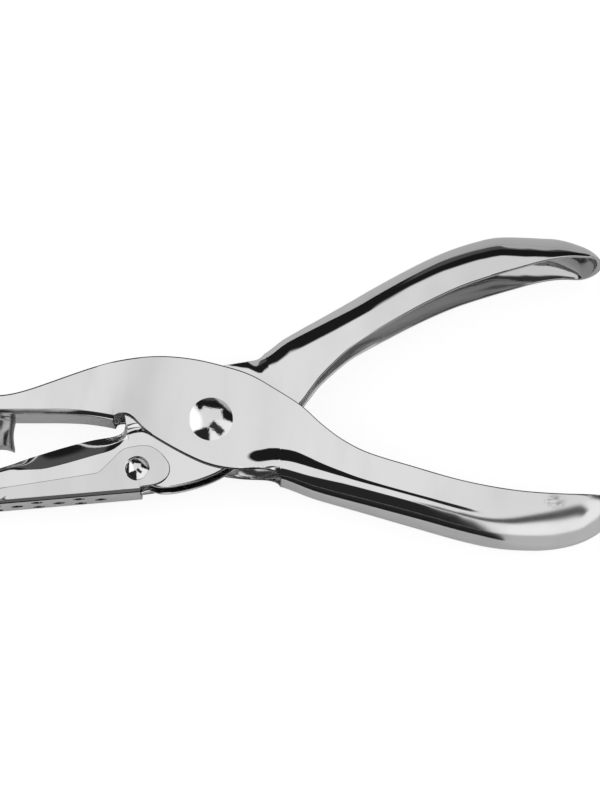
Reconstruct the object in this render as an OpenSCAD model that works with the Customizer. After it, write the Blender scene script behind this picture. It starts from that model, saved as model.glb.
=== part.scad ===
// Single-hole hand punch: two stamped channel levers crossed on one rivet, lying on its side.
// Everything is drawn about the pivot axis, on the mid plane between the two sides, and then
// moved as a whole: the origin is the centre of the footprint, on the surface it lies on.
// X runs from the jaws to the handles, Y from the lower handle to the upper one, Z up.

/* [Levers] */
// Thickness of the lever sheet
sheet_t = 1; // [0.8:0.05:1.2]
// Distance from the pivot axis to the punch axis
reach = 42.5; // [40:0.5:46]
// Length of both jaws past the punch axis
nose_len = 6.5; // [5.5:0.5:8]
// Outside width of the inner lever
inner_w = 9.2; // [8.8:0.1:10]
// Gap between the cheeks of the two levers, on each side
cheek_gap = 0.1; // [0.06:0.02:0.16]
// Angle between the two jaws at rest
open_angle = 16; // [15:0.5:18]
// Height of the die face above the pivot axis, square to the lower jaw
die_y = 2.4; // [2:0.1:2.6]
// Height of the upper jaw's underside above the pivot axis
jaw_y = 1; // [0.8:0.1:1.6]
// Outside radius of the upper jaw's folds
upper_fold_r = 1.2; // [1.2:0.1:1.6]
// Outside radius of the lower jaw's folds at the die
die_fold_r = 1.6; // [1.4:0.1:1.8]
// Outside radius of the lower jaw's folds halfway along
lower_fold_r = 3; // [2:0.1:3.2]

/* [Handles] */
// Distance from the pivot axis to the lower handle's end
lower_handle_len = 82; // [76:1:92]
// Distance from the pivot axis to the upper handle's end
upper_handle_len = 85.5; // [80:0.5:96]
// Widest part of both handles
handle_w = 19; // [18:0.5:21]
// Width across the lower handle's lips
lower_lip_w = 18.6; // [17.8:0.2:18.8]
// Width across the upper handle's lips
upper_lip_w = 18.6; // [17.8:0.2:18.8]
// Outside radius of the folds along the lower handle and at the upper handle's neck
grip_fold_r = 2.6; // [2:0.1:3]
// Outside radius of the folds along the upper handle
upper_grip_fold_r = 5.5; // [4.5:0.1:6]
// Outside radius of the folds at the handles' ends
end_fold_r = 7; // [5:0.5:8]
// Length of the lower handle's rounded end, seen from above
lower_end_round = 9; // [7:0.5:11]
// Length of the upper handle's rounded end, seen from above
upper_end_round = 3.4; // [3:0.2:5]

/* [Pivot] */
// Diameter of the pivot rivet's shank
rivet_d = 5; // [4:0.1:5.4]
// Diameter of the pivot rivet's domed head
rivet_head_d = 8.8; // [8:0.1:10]
// Height of the pivot rivet's domed head
rivet_head_h = 1.3; // [0.8:0.1:2]
// Diameter of the pivot rivet's upset end
rivet_tail_d = 7.6; // [7:0.1:9]
// Height of the pivot rivet's upset end
rivet_tail_h = 0.9; // [0.6:0.1:1.4]
// Wall of the spacer bush on the rivet
bush_wall = 0.65; // [0.5:0.05:0.8]

/* [Return spring] */
// Diameter of the spring wire
wire_d = 1; // [0.8:0.05:1.1]
// Gap between the spring's curls
curl_gap = 0.5; // [0.45:0.05:0.6]
// Clear gap between the spring and the bush
spring_gap = 0.3; // [0.2:0.05:0.5]

/* [Punch] */
// Diameter of the punch, which is the hole it cuts
punch_d = 6; // [5.5:0.1:6.4]
// Length of the punch below the upper jaw
punch_len = 6.9; // [6.5:0.1:7.2]
// How much slimmer the punch's waist is than its edge, on each side
waist_cut = 0.35; // [0.2:0.05:0.5]
// Depth of the hollow ground across the cutting end
edge_hollow = 1.1; // [0.5:0.1:1.6]
// Diameter of the punch's stem through the jaw
stem_d = 4; // [3.4:0.1:4.4]
// Radial clearance of the die hole round the punch
die_gap = 0.2; // [0.15:0.05:0.3]
// Outside diameter of the washer that the stem is riveted over
washer_d = 7.6; // [7:0.1:8]
// Thickness of that washer
washer_t = 0.6; // [0.5:0.05:0.8]

/* [Chip catcher] */
// Thickness of the catcher's sheet
tray_t = 0.45; // [0.4:0.05:0.6]
// Gap between the catcher's walls and the lower jaw, on each side
tray_gap = 0.1; // [0.06:0.02:0.16]
// Depth of the catcher's floor below its hinge
tray_depth = 4.8; // [4.6:0.1:5.2]
// Outside radius of the catcher's folds
tray_fold_r = 0.9; // [0.7:0.1:1.2]
// Distance from the pivot axis to the catcher's hinge, along the lower jaw
hinge_back = 16.8; // [16:0.1:17.6]
// Distance from the pivot axis to the catcher's hinge, square to the lower jaw
hinge_drop = 5.5; // [5.3:0.1:5.7]
// Angle between the catcher's floor and the lower jaw's die face
tray_tilt = 10.9; // [10:0.1:12]
// Diameter of the catcher rivets' shanks
pin_d = 2.5; // [2:0.1:3]
// Diameter of the catcher rivets' domed heads
pin_head_d = 5; // [4:0.1:5.6]
// Height of the catcher rivets' domed heads
pin_head_h = 1.4; // [1:0.1:1.8]
// Diameter of the catcher rivets' upset ends
pin_tail_d = 3.9; // [3.4:0.1:4.4]
// Height of the catcher rivets' upset ends
pin_tail_h = 0.5; // [0.4:0.1:0.7]
// Diameter of the vent holes in the catcher's floor
vent_d = 2.4; // [1.6:0.1:2.8]
// Distance between vent holes along a row
vent_pitch = 8.4; // [7.6:0.1:9]

/* [Hidden] */
$fn = 64;

// Radial clearance of a pin in its hole, and the gap under a head
fit_gap = 0.05;
seat_gap = 0.02;
// Room that a cutter takes past what it cuts
past = 1;

// Half widths of the levers, from the mid plane to their outside faces
inner_half = inner_w / 2;
outer_half = inner_half + cheek_gap + sheet_t;
grip_half = handle_w / 2;
tray_half = inner_half + tray_gap + tray_t;

// Places along the jaws and handles where their stretch begins
throat_x = 19.6;
neck_x = 22;
// Lengths at which the outlines below are drawn
drawn_reach = 42.5;
drawn_lower = 82;
drawn_upper = 85.5;
drawn_nose = 6.5;
drawn_jaw_y = 1;
drawn_die_y = 2.4;

// Outlines of the outer lever about the pivot: the open edge, then the folded back
OUTER_RIM = [[-49, 4.3], [-43.5, 4.7], [-40, 5.1], [-36, 6.2], [-24, 10.5], [-18, 12.1],
             [-11, 12.9], [-4, 12.4], [3, 10.8], [8, 9.1], [13, 6.2], [18, 2.8], [22, -1],
             [26, -4.2], [31, -6.95], [40, -9.9], [50, -12.8], [60, -14.7], [70, -15.45], [82, -15.55]];
OUTER_BACK = [[-49, 1], [-36, 1], [-30, 1], [-25, 0.75], [-19.6, -0.15], [-18, -0.8], [-15, -4.5],
              [-9, -9], [3, -12.5], [9, -12.2], [13, -11.7], [21, -14.5], [31, -17.3], [41, -20.1],
              [50.5, -22.75], [58, -24.4], [65, -25.05], [82, -25.4]];
// Lower edge of the outer lever's cheeks, between the jaw's floor and the handle's back
OUTER_NECK = [[-19.6, 0.2], [-19.2, 0.75], [-18.2, 1], [-16.8, 0.9], [-15.6, 0.2], [-14.2, -1.3],
              [-12.6, -2.7], [-9.1, -4.9], [-5.1, -7.1], [-1.1, -8.9], [2.3, -9.8], [6, -10.2],
              [10.5, -10.3], [12.3, -10.6], [13.5, -11.3], [14.4, -12.8]];
// Share of the flare that the lips and the swell of the lower handle have reached
OUTER_LIP = [[12, 0], [17, 0.12], [23, 0.39], [31, 0.65], [42, 0.87], [50, 0.92], [60, 0.94], [72, 1]];
OUTER_SWELL = [[7.5, 0], [14, 0.42], [20, 0.52], [30, 0.74], [42, 0.95], [49, 1]];
OUTER_FOLD = [[-22, 0], [2, 0.7], [13, 1]];
// Height of the ramp between the flat and the swell of the lower handle
OUTER_RAMP = [[8, 4.2], [14, 3.4], [22, 2.2], [30, 1.6]];

// Outlines of the inner lever in its own frame, with the die face along X
INNER_RIM = [[-49.3, -2.9], [-44, -3.6], [-23, -7.3], [-19.8, -8.5], [-17.5, -9.1], [-15.6, -9.2],
             [-13.6, -10.3], [-10.4, -11], [-5.2, -11.1], [-0.5, -10.4], [6, -7.9], [12, -4.9],
             [18, -1.65], [20.6, 0.3], [23.8, 2.65], [29.5, 5.65], [33, 7], [42, 9.25], [48.6, 10.65],
             [55.2, 11.65], [60.7, 12], [68, 12.15], [74, 12.1], [78.5, 11.5], [82, 10.45], [85.5, 9.5]];
INNER_BACK = [[-49.3, 2.4], [-42, 2.4], [-36, 2.8], [-30, 3], [-24, 2.9], [-20, 2.5], [-18.2, 2.6],
              [-17.2, 3.2], [-16.7, 4.6], [-16.4, 7], [-15.4, 11], [-8, 13.5], [4, 13.5], [10, 12.5],
              [12.9, 10.8], [19, 12.85], [29.4, 15.4], [39.9, 17.95], [50.3, 20.15], [57, 21],
              [63, 21.2], [66, 21.05], [72, 20.05], [78, 18.45], [81.7, 16.8], [85.5, 14.3]];
// Upper edge of the inner lever's cheeks, between the die face and the handle's back
INNER_NECK = [[-16.3, 6.3], [-15.5, 7.3], [-13, 8.5], [-7, 9.8], [0, 10.3], [6.5, 10.1], [10.3, 9.8],
              [12, 9.8], [13.2, 10.2], [14.1, 10.9], [14.9, 12.2]];
INNER_LIP = [[19, 0], [28, 0.313], [37.7, 0.688], [53, 0.957], [61, 0.99]];
INNER_SWELL = [[19, 0], [28, 0.3], [37.7, 0.66], [53, 0.94], [61, 1]];
INNER_FOLD = [[-46, 0], [-40, 0.15], [-34, 1], [-23, 1], [-17.5, 0.4]];
// Share of the upper handle's wider folds that is reached behind the neck
INNER_GRIP = [[6, 0], [16, 1]];

// Outlines of the catcher about its hinge, with its floor along X
TRAY_RIM = [[-35, -2.1], [-27.4, -1.6], [-8.6, -0.25], [-7.6, 0], [-5.2, 1.95], [-3.1, 3.75],
            [-1.9, 4.3], [0.8, 4.6], [3, 4.5], [8, 4.5]];
TRAY_EAR = [[0.8, 4.8], [2.9, 4.3], [4.6, 3.1], [5.8, 1.6], [6.4, 0.4], [6.5, -0.8], [5.9, -2.1],
            [4.7, -3.1], [3.2, -3.6], [1.2, -3.75], [0.2, -3.8]];

// Smooth curve through the points of a list, by its height at x
function slope(c, i) =
    let (a = c[max(i - 1, 0)], b = c[min(i + 1, len(c) - 1)]) (b.y - a.y) / (b.x - a.x);
function piece(c, x, i = 0) = i >= len(c) - 2 || x < c[i + 1].x ? i : piece(c, x, i + 1);
function at(c, x) =
    let (q = min(max(x, c[0].x), c[len(c) - 1].x), i = piece(c, q), w = c[i + 1].x - c[i].x,
         s = (q - c[i].x) / w, r = 1 - s)
    r * r * (1 + 2 * s) * c[i].y + s * s * (3 - 2 * s) * c[i + 1].y
    + s * r * w * (r * slope(c, i) - s * slope(c, i + 1));
function samples(c, step) =
    let (a = c[0].x, b = c[len(c) - 1].x, n = ceil((b - a) / step))
    [for (i = [0:n]) let (x = a + (b - a) * i / n) [x, at(c, x)]];
// Places along a channel where its section is drawn: from each x of the list, by steps of at most the
// length beside it, up to the next x
function stations(list) = [for (k = [0:len(list) - 2])
    let (a = list[k][0], b = list[k + 1][0], n = ceil((b - a) / list[k][1]))
    each [for (i = [0:n - 1]) a + (b - a) * i / n]];
function blend(s) = s * s * (3 - 2 * s);
// Rounded line through points that turn back on themselves, with steps pieces between two of them
function knot(c, i) = c[max(0, min(i, len(c) - 1))];
function rounded_through(c, steps) = concat(
    [for (i = [0:len(c) - 2], k = [0:steps - 1])
        let (s = k / steps, r = 1 - s, a = knot(c, i), b = knot(c, i + 1))
        r * r * (1 + 2 * s) * a + s * s * (3 - 2 * s) * b
        + s * r / 2 * (r * (b - knot(c, i - 1)) - s * (knot(c, i + 2) - a))],
    [c[len(c) - 1]]);
function turned(p, angle) = [p.x * cos(angle) - p.y * sin(angle), p.x * sin(angle) + p.y * cos(angle)];

// Lengthwise stretch of an outline from its drawn lengths to the set ones
function jaw_x(x) = x >= -throat_x ? x
    : x > -drawn_reach ? -throat_x + (x + throat_x) * (reach - throat_x) / (drawn_reach - throat_x)
    : -reach + (x + drawn_reach) * nose_len / drawn_nose;
function grip_x(x, length, drawn) = neck_x + (x - neck_x) * (length - neck_x) / (drawn - neck_x);
function drawn_to(c, length, drawn) =
    [for (p = c) [p.x > neck_x ? grip_x(p.x, length, drawn) : jaw_x(p.x), p.y]];

// Half of a channel's section, from the lip to the middle of its back, as [depth, half width].
// The wall is flat below the lip, swells out to the crest and turns into the back by a fold.
ramp_h = 2.4;
land_h = 1;
ramp_steps = 3;
fold_steps = 4;
// Most that a fold takes of a narrow section, of a shallow one and of a handle's end
fold_of_width = 0.9;
fold_of_depth = 0.66;
end_of_depth = 0.92;
// Most that the land, and the land with the ramp, take of the depth that the fold leaves
land_of_rest = 0.35;
ramp_of_rest = 0.7;
function half_section(depth, lip, crest, fold, most = fold_of_depth, ramp = ramp_h) =
    let (wide = min(fold, fold_of_width * crest), tall = min(fold, most * depth), rest = depth - tall,
         top = tall + min(land_h, land_of_rest * rest), foot = min(top + ramp, tall + ramp_of_rest * rest))
    concat(
        [[0, lip]],
        [for (i = [0:ramp_steps]) let (s = i / ramp_steps)
            [depth - foot + (foot - top) * s, lip + (crest - lip) * blend(s)]],
        [for (i = [0:fold_steps]) let (a = 90 * i / fold_steps)
            [depth - tall + tall * sin(a), crest - wide + wide * cos(a)]],
        [[depth, 0]]);
half_count = ramp_steps + fold_steps + 4;
ring_count = 2 * half_count - 1;
// Ring of points round a channel at x, from the near lip over the back to the far lip
function ring(x, rim, side, half) =
    [for (j = [0:ring_count - 1]) let (p = half[min(j, ring_count - 1 - j)])
        [x, rim + side * p.x, j < half_count ? p.y : -p.y]];

// How much of its size a rounded end still has at x
function rounded(x, tip, length) =
    x <= tip - length ? 1 : sqrt(max(0, 1 - pow((x - tip + length) / length, 2)));

// Closed skin between outer rings and inner rings. The hollow runs over rings first to last of
// the outer ones, and an end that it doesn't reach is closed.
module channel(outer, inner, first, side) {
    m = ring_count;
    n = len(outer);
    last = first + len(inner) - 1;
    base = n * m;
    points = concat([for (r = outer) each r], [for (r = inner) each r]);
    function o(i, j) = i * m + j;
    function k(i, j) = base + (i - first) * m + j;
    function quad(a, b, c, d) = [[a, b, c], [a, c, d]];
    function turn(f, flip) = flip ? [for (t = f) [t[0], t[2], t[1]]] : f;
    function ladder(ids, flip) = [for (j = [0:half_count - 3])
        let (a = ids[j], b = ids[j + 1], c = ids[m - 2 - j], d = ids[m - 1 - j], e = ids[half_count - 1])
        each turn(j < half_count - 3 ? quad(a, b, c, d) : [[a, b, e], [a, e, d], [e, c, d]], flip)];
    skin = [for (i = [0:n - 2], j = [0:m - 2])
        each quad(o(i, j), o(i + 1, j), o(i + 1, j + 1), o(i, j + 1))];
    hollow = [for (i = [first:last - 1], j = [0:m - 2])
        each quad(k(i, j), k(i, j + 1), k(i + 1, j + 1), k(i + 1, j))];
    lips = [for (i = [first:last - 1]) each concat(
        quad(o(i, 0), k(i, 0), k(i + 1, 0), o(i + 1, 0)),
        quad(o(i, m - 1), o(i + 1, m - 1), k(i + 1, m - 1), k(i, m - 1)))];
    solid_tops = [for (i = [0:n - 2]) if (i < first - 1 || i > last)
        each quad(o(i, 0), o(i, m - 1), o(i + 1, m - 1), o(i + 1, 0))];
    front = first == 0
        ? [for (j = [0:m - 2]) each quad(o(0, j), o(0, j + 1), k(0, j + 1), k(0, j))]
        : concat(ladder([for (j = [0:m - 1]) o(0, j)], false),
                 ladder([for (j = [0:m - 1]) k(first, j)], true),
                 [[o(first - 1, 0), o(first - 1, m - 1), k(first, 0)],
                  [o(first - 1, m - 1), k(first, m - 1), k(first, 0)],
                  [o(first - 1, 0), k(first, 0), o(first, 0)],
                  [o(first - 1, m - 1), o(first, m - 1), k(first, m - 1)]]);
    tail = last == n - 1
        ? [for (j = [0:m - 2]) each quad(o(last, j), k(last, j), k(last, j + 1), o(last, j + 1))]
        : concat(ladder([for (j = [0:m - 1]) o(n - 1, j)], true),
                 ladder([for (j = [0:m - 1]) k(last, j)], false),
                 [[o(last + 1, 0), k(last, 0), o(last + 1, m - 1)],
                  [o(last + 1, m - 1), k(last, 0), k(last, m - 1)],
                  [o(last + 1, 0), o(last, 0), k(last, 0)],
                  [o(last + 1, m - 1), k(last, m - 1), o(last, m - 1)]]);
    faces = concat(skin, hollow, lips, solid_tops, front, tail);
    polyhedron(points, turn(faces, side > 0));
}

// Least radius inside a fold
least_r = 0.25;
// How far the folds have grown from their radius along a handle to that at its end
end_fold_from = 30;
end_fold_to = 10;
function near_end(x, tip) =
    blend(max(0, min(1, (x - tip + end_fold_from) / (end_fold_from - end_fold_to))));
function most_of_depth(x, tip) = fold_of_depth + (end_of_depth - fold_of_depth) * near_end(x, tip);

// Stations along a rounded end: those of the hollow, then those of the closing wall
HOLLOW_ANGLES = [0, 20, 38, 54, 67, 77, 84];
WALL_ANGLES = [67, 74, 81, 86.5];
function hollow_end(tip, round) = [for (a = HOLLOW_ANGLES) tip - round + (round - sheet_t) * sin(a)];
function wall_end(tip, round) = [for (a = WALL_ANGLES) tip - round + round * sin(a)];
// Corner of a jaw's nose, seen from the side
nose_round = 1.8;
NOSE_STEPS = [0, 0.1, 0.35, 0.65];
function nose_start(nose) = [for (s = NOSE_STEPS) nose + nose_round * s];
function nose_drop(x, nose) =
    x >= nose + nose_round ? 0 : nose_round * (1 - sqrt(max(0, 1 - pow(1 - (x - nose) / nose_round, 2))));

// Sections of the outer lever along X
outer_nose = -reach - nose_len;
outer_end_depth = 17;
OUTER_RIM_SET = drawn_to(OUTER_RIM, lower_handle_len, drawn_lower);
OUTER_BACK_SET = drawn_to(OUTER_BACK, lower_handle_len, drawn_lower);
OUTER_LIP_SET = drawn_to(OUTER_LIP, lower_handle_len, drawn_lower);
OUTER_SWELL_SET = drawn_to(OUTER_SWELL, lower_handle_len, drawn_lower);
OUTER_RAMP_SET = drawn_to(OUTER_RAMP, lower_handle_len, drawn_lower);
OUTER_STEPS = [[outer_nose + nose_round, 3.4], [-20.4, 1.4], [-15, 4.5], [7, 1.7], [neck_x, 3.2],
               [lower_handle_len - lower_end_round, 0]];
OUTER_HOLLOW_X = concat(nose_start(outer_nose), stations(OUTER_STEPS),
                        hollow_end(lower_handle_len, lower_end_round));
OUTER_X = concat(OUTER_HOLLOW_X, wall_end(lower_handle_len, lower_end_round));
function outer_back(x) = at(OUTER_BACK_SET, x) + (x < -throat_x ? jaw_y - drawn_jaw_y : 0);
function outer_ring(x, t) =
    let (rim = at(OUTER_RIM_SET, x) - nose_drop(x, outer_nose), tip = lower_handle_len - t,
         plan = rounded(x, tip, lower_end_round - t),
         depth = (rim - outer_back(x) - t) * rounded(x, tip, outer_end_depth - t),
         lip = outer_half + (lower_lip_w / 2 - outer_half) * at(OUTER_LIP_SET, x),
         crest = outer_half + (grip_half - outer_half) * at(OUTER_SWELL_SET, x),
         fold = upper_fold_r + (grip_fold_r - upper_fold_r) * at(OUTER_FOLD, x)
                + (end_fold_r - grip_fold_r) * near_end(x, tip))
    ring(x, rim, -1, half_section(depth, (lip - t) * plan, (crest - t) * plan, max(fold - t, least_r),
                                  most_of_depth(x, tip), at(OUTER_RAMP_SET, x)));

// Sections of the inner lever along its own X
lower_jaw_past = 0.3;
inner_nose = -reach - nose_len - lower_jaw_past;
inner_end_depth = 22.3;
INNER_RIM_SET = drawn_to(INNER_RIM, upper_handle_len, drawn_upper);
INNER_BACK_SET = drawn_to(INNER_BACK, upper_handle_len, drawn_upper);
INNER_LIP_SET = drawn_to(INNER_LIP, upper_handle_len, drawn_upper);
INNER_SWELL_SET = drawn_to(INNER_SWELL, upper_handle_len, drawn_upper);
INNER_FOLD_SET = drawn_to(INNER_FOLD, upper_handle_len, drawn_upper);
INNER_GRIP_SET = drawn_to(INNER_GRIP, upper_handle_len, drawn_upper);
// Length of the upper handle's end where its back comes down
end_fall = 15;
stop_x = 16.9;
// Notch behind the die face, sunk a little into the cheeks
throat_notch = 3;
throat_relief = 0.1;
INNER_STEPS = [[inner_nose + nose_round, 3.4], [-19.6, 0.8], [-17.4, 0.21], [-16.2, 0.8], [-13, 4.8],
               [11, 2.6], [neck_x, 3.2], [upper_handle_len - end_fall, 1.7],
               [upper_handle_len - upper_end_round, 0]];
INNER_HOLLOW_X = concat(nose_start(inner_nose), stations(INNER_STEPS),
                        hollow_end(upper_handle_len, upper_end_round));
INNER_X = concat(INNER_HOLLOW_X, wall_end(upper_handle_len, upper_end_round));
function inner_back(x) = at(INNER_BACK_SET, x) + (x < -stop_x ? die_y - drawn_die_y : 0);
function inner_fold(x, tip) =
    let (jaw_fold = die_fold_r + (lower_fold_r - die_fold_r) * at(INNER_FOLD_SET, x),
         grip_fold = grip_fold_r + (upper_grip_fold_r - grip_fold_r) * at(INNER_GRIP_SET, x))
    x < 0 ? jaw_fold : grip_fold + (end_fold_r - grip_fold) * near_end(x, tip);
function inner_crest(x) = inner_half + (grip_half - inner_half) * at(INNER_SWELL_SET, x);
function inner_ring(x, t) =
    let (rim = at(INNER_RIM_SET, x) + nose_drop(x, inner_nose), tip = upper_handle_len - t,
         plan = rounded(x, tip, upper_end_round - t),
         depth = (inner_back(x) - rim - t) * rounded(x, tip, inner_end_depth - t),
         lip = inner_half + (upper_lip_w / 2 - inner_half) * at(INNER_LIP_SET, x),
         fold = max(inner_fold(x, tip) - t, least_r))
    ring(x, rim, 1, half_section(depth, (lip - t) * plan, (inner_crest(x) - t) * plan, fold,
                                 most_of_depth(x, tip)));

// Where the punch's tip meets the die face, in the inner lever's frame
tip_y = jaw_y - punch_len;
bite_angle = asin(die_y / norm([reach, tip_y])) - atan2(tip_y, reach);
die_x = -reach * cos(bite_angle) + tip_y * sin(bite_angle);

// Catcher: its hinge in the inner lever's frame, then its sections along its own X
hinge = [-hinge_back, -hinge_drop];
// Gap between the jaw's nose and the catcher's front wall
tray_front_gap = 0.4;
tray_nose = turned([inner_nose, die_y] - hinge, tray_tilt).x - tray_front_gap - tray_t;
// Where the floor ends behind the hinge, and the length that the ear is cut from
tray_floor_end = 0.2;
tray_end = 8;
TRAY_STEPS = [[tray_nose + tray_t, 5], [-8.6, 0.8], [1.2, tray_end], [tray_end, 0]];
TRAY_HOLLOW_X = concat(stations(TRAY_STEPS), [tray_end]);
TRAY_X = concat([tray_nose], TRAY_HOLLOW_X);
function tray_ring(x, t) =
    let (rim = at(TRAY_RIM, x))
    ring(x, rim, -1, half_section(rim + tray_depth - t, tray_half - t, tray_half - t,
                                  max(tray_fold_r - t, least_r)));

// Limits of the whole model about the pivot, for its place in the frame
LEVER_POINTS = concat(
    [for (x = OUTER_X) each outer_ring(x, 0)],
    [for (x = INNER_X) each [for (p = inner_ring(x, 0)) turned(p, open_angle)]]);
low_x = min([for (p = LEVER_POINTS) p.x]);
high_x = max([for (p = LEVER_POINTS) p.x]);
low_y = min([for (p = LEVER_POINTS) p.y]);
high_y = max([for (p = LEVER_POINTS) p.y]);
centre = [(low_x + high_x) / 2, (low_y + high_y) / 2, -grip_half];

// Moves a piece from the pivot's frame to the model's, or first from a lever's or the catcher's own
module place() translate(-centre) children();
module on_inner() rotate(open_angle) children();
module on_hinge() on_inner() translate(hinge) children();
// Longest piece of a cut edge
edge_step = 0.7;
// Cut right through both sides
module through(d) translate([0, 0, -handle_w]) cylinder(d = d, h = 2 * handle_w);
module slab(points) translate([0, 0, -handle_w]) linear_extrude(2 * handle_w) polygon(points);

module outer_lever() color("silver") difference() {
    channel([for (x = OUTER_X) outer_ring(x, 0)], [for (x = OUTER_HOLLOW_X) outer_ring(x, sheet_t)], 0, -1);
    slab(concat([[OUTER_NECK[0].x, low_y - past]], samples(OUTER_NECK, edge_step),
                [[OUTER_NECK[len(OUTER_NECK) - 1].x, low_y - past]]));
    through(rivet_d + 2 * fit_gap);
    translate([-reach, jaw_y - past, 0]) rotate([-90, 0, 0])
        cylinder(d = stem_d + 2 * fit_gap, h = sheet_t + 2 * past);
}

module inner_lever() color("silver") on_inner() difference() {
    channel([for (x = INNER_X) inner_ring(x, 0)], [for (x = INNER_HOLLOW_X) inner_ring(x, sheet_t)], 0, 1);
    slab(concat([[-stop_x - past, high_y], [-stop_x - past, INNER_NECK[0].y]],
                samples(INNER_NECK, edge_step), [[INNER_NECK[len(INNER_NECK) - 1].x, high_y]]));
    translate([-stop_x, 0, sheet_t - inner_half - throat_relief])
        cube([throat_notch, high_y, inner_w - 2 * (sheet_t - throat_relief)]);
    through(rivet_d + 2 * fit_gap);
    translate(hinge) through(pin_d + 2 * fit_gap);
    translate([die_x, die_y - sheet_t - past, 0]) rotate([-90, 0, 0])
        cylinder(d = punch_d + 2 * die_gap, h = sheet_t + 2 * past);
}

// Outline of a domed head: an arc of the given width and height
function dome(d, h, steps = 8) =
    let (r = (d * d / 4 + h * h) / (2 * h), a = asin(d / 2 / r))
    [for (i = [0:steps]) let (b = a * (1 - i / steps)) [r * sin(b), r * cos(b) - r + h]];

module rivet(shank_d, low, high, head_d, head_h, tail_d, tail_h) {
    tail_round = tail_h / 2;
    translate([0, 0, low]) cylinder(d = shank_d, h = high - low);
    translate([0, 0, high]) rotate_extrude() polygon(concat(dome(head_d, head_h), [[0, 0]]));
    translate([0, 0, low - tail_h]) cylinder(d1 = tail_d - tail_round, d2 = tail_d, h = tail_round);
    translate([0, 0, low - tail_h + tail_round]) cylinder(d = tail_d, h = tail_h - tail_round);
}

module pivot_rivet() color("gainsboro")
    rivet(rivet_d, -outer_half - seat_gap, outer_half + seat_gap, rivet_head_d, rivet_head_h,
          rivet_tail_d, rivet_tail_h);

bush_half = inner_half - sheet_t - fit_gap;
module pivot_bush() color("darkgray") difference() {
    translate([0, 0, -bush_half]) cylinder(d = rivet_d + 2 * (fit_gap + bush_wall), h = 2 * bush_half);
    through(rivet_d + 2 * fit_gap);
}

// Return spring: curls round the bush, with a leg along the back of each handle
curl_turns = 4;
curl_steps = 8;
wire_sides = 6;
upper_leg_dir = 27;
lower_leg_dir = -18;
upper_leg_len = 21;
lower_leg_len = 20;
curl_r = (rivet_d / 2 + fit_gap + bush_wall + spring_gap + wire_d / 2) / cos(180 / curl_steps);
curl_from = upper_leg_dir + 90;
curl_to = lower_leg_dir - 90 + 360 * curl_turns;
curl_pitch = wire_d + curl_gap;
curl_count = ceil((curl_to - curl_from) / 360 * curl_steps);
curl_h = curl_pitch * (curl_to - curl_from) / 360;
function heading(a) = [cos(a), sin(a), 0];
function curl_point(s) =
    let (a = curl_from + (curl_to - curl_from) * s) curl_r * heading(a) + [0, 0, curl_h * (0.5 - s)];
// Point where a leg's foot reaches the inside of a lever's back, from a point on the leg
foot_bend = 0.5;
function inner_face(p) = let (q = turned(p, -open_angle)) inner_back(q.x) - sheet_t - q.y;
// How far the upper handle's inside has curved down where the foot stands off its middle
function fold_drop(x, off) =
    let (crest = inner_crest(x) - sheet_t,
         r = min(inner_fold(x, upper_handle_len) - sheet_t, fold_of_width * crest))
    r - sqrt(r * r - pow(max(0, off - crest + r), 2));
function back_dir(f, x) = atan2(f(x + 1) - f(x - 1), 2);
upper_knee = curl_point(0) + upper_leg_len * heading(upper_leg_dir);
lower_knee = curl_point(1) + lower_leg_len * heading(lower_leg_dir);
upper_slope = back_dir(function(x) inner_back(x), turned(upper_knee, -open_angle).x);
lower_slope = back_dir(function(x) outer_back(x), lower_knee.x);
upper_foot_dir = open_angle + upper_slope + 90;
lower_foot_dir = lower_slope - 90;
upper_drop = fold_drop(turned(upper_knee, -open_angle).x, (curl_h + wire_d) / 2);
upper_foot_len = (inner_face(upper_knee) - upper_drop) * cos(upper_slope) - spring_gap;
lower_foot_len = (lower_knee.y - outer_back(lower_knee.x) - sheet_t) * cos(lower_slope) - spring_gap;
WIRE = concat(
    [upper_knee + upper_foot_len * heading(upper_foot_dir)],
    [upper_knee + foot_bend * heading(upper_foot_dir), upper_knee - foot_bend * heading(upper_leg_dir)],
    [for (i = [0:curl_count]) curl_point(i / curl_count)],
    [lower_knee - foot_bend * heading(lower_leg_dir), lower_knee + foot_bend * heading(lower_foot_dir)],
    [lower_knee + lower_foot_len * heading(lower_foot_dir)]);
function unit(v) = v / norm(v);
function wire_dir(i) = let (k = min(max(i, 0), len(WIRE) - 2)) unit(WIRE[k + 1] - WIRE[k]);
function wire_ring(i) =
    let (t = unit(wire_dir(i - 1) + wire_dir(i)), side = unit(cross([0, 0, 1], t)),
         up = cross(t, side), mitre = 1 / (t * wire_dir(i)))
    [for (j = [0:wire_sides - 1]) let (a = 360 * j / wire_sides)
        WIRE[i] + wire_d / 2 * (cos(a) * mitre * side + sin(a) * up)];

module return_spring() color("dimgray") {
    n = len(WIRE);
    rings = [for (i = [0:n - 1]) each wire_ring(i)];
    sides = [for (i = [0:n - 2], j = [0:wire_sides - 1]) let (a = i * wire_sides, b = (j + 1) % wire_sides)
        each [[a + j, a + b, a + wire_sides + b], [a + j, a + wire_sides + b, a + wire_sides + j]]];
    caps = [for (j = [1:wire_sides - 2]) each [[0, j + 1, j],
        [(n - 1) * wire_sides, (n - 1) * wire_sides + j, (n - 1) * wire_sides + j + 1]]];
    polyhedron(rings, concat(sides, caps));
}

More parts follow.
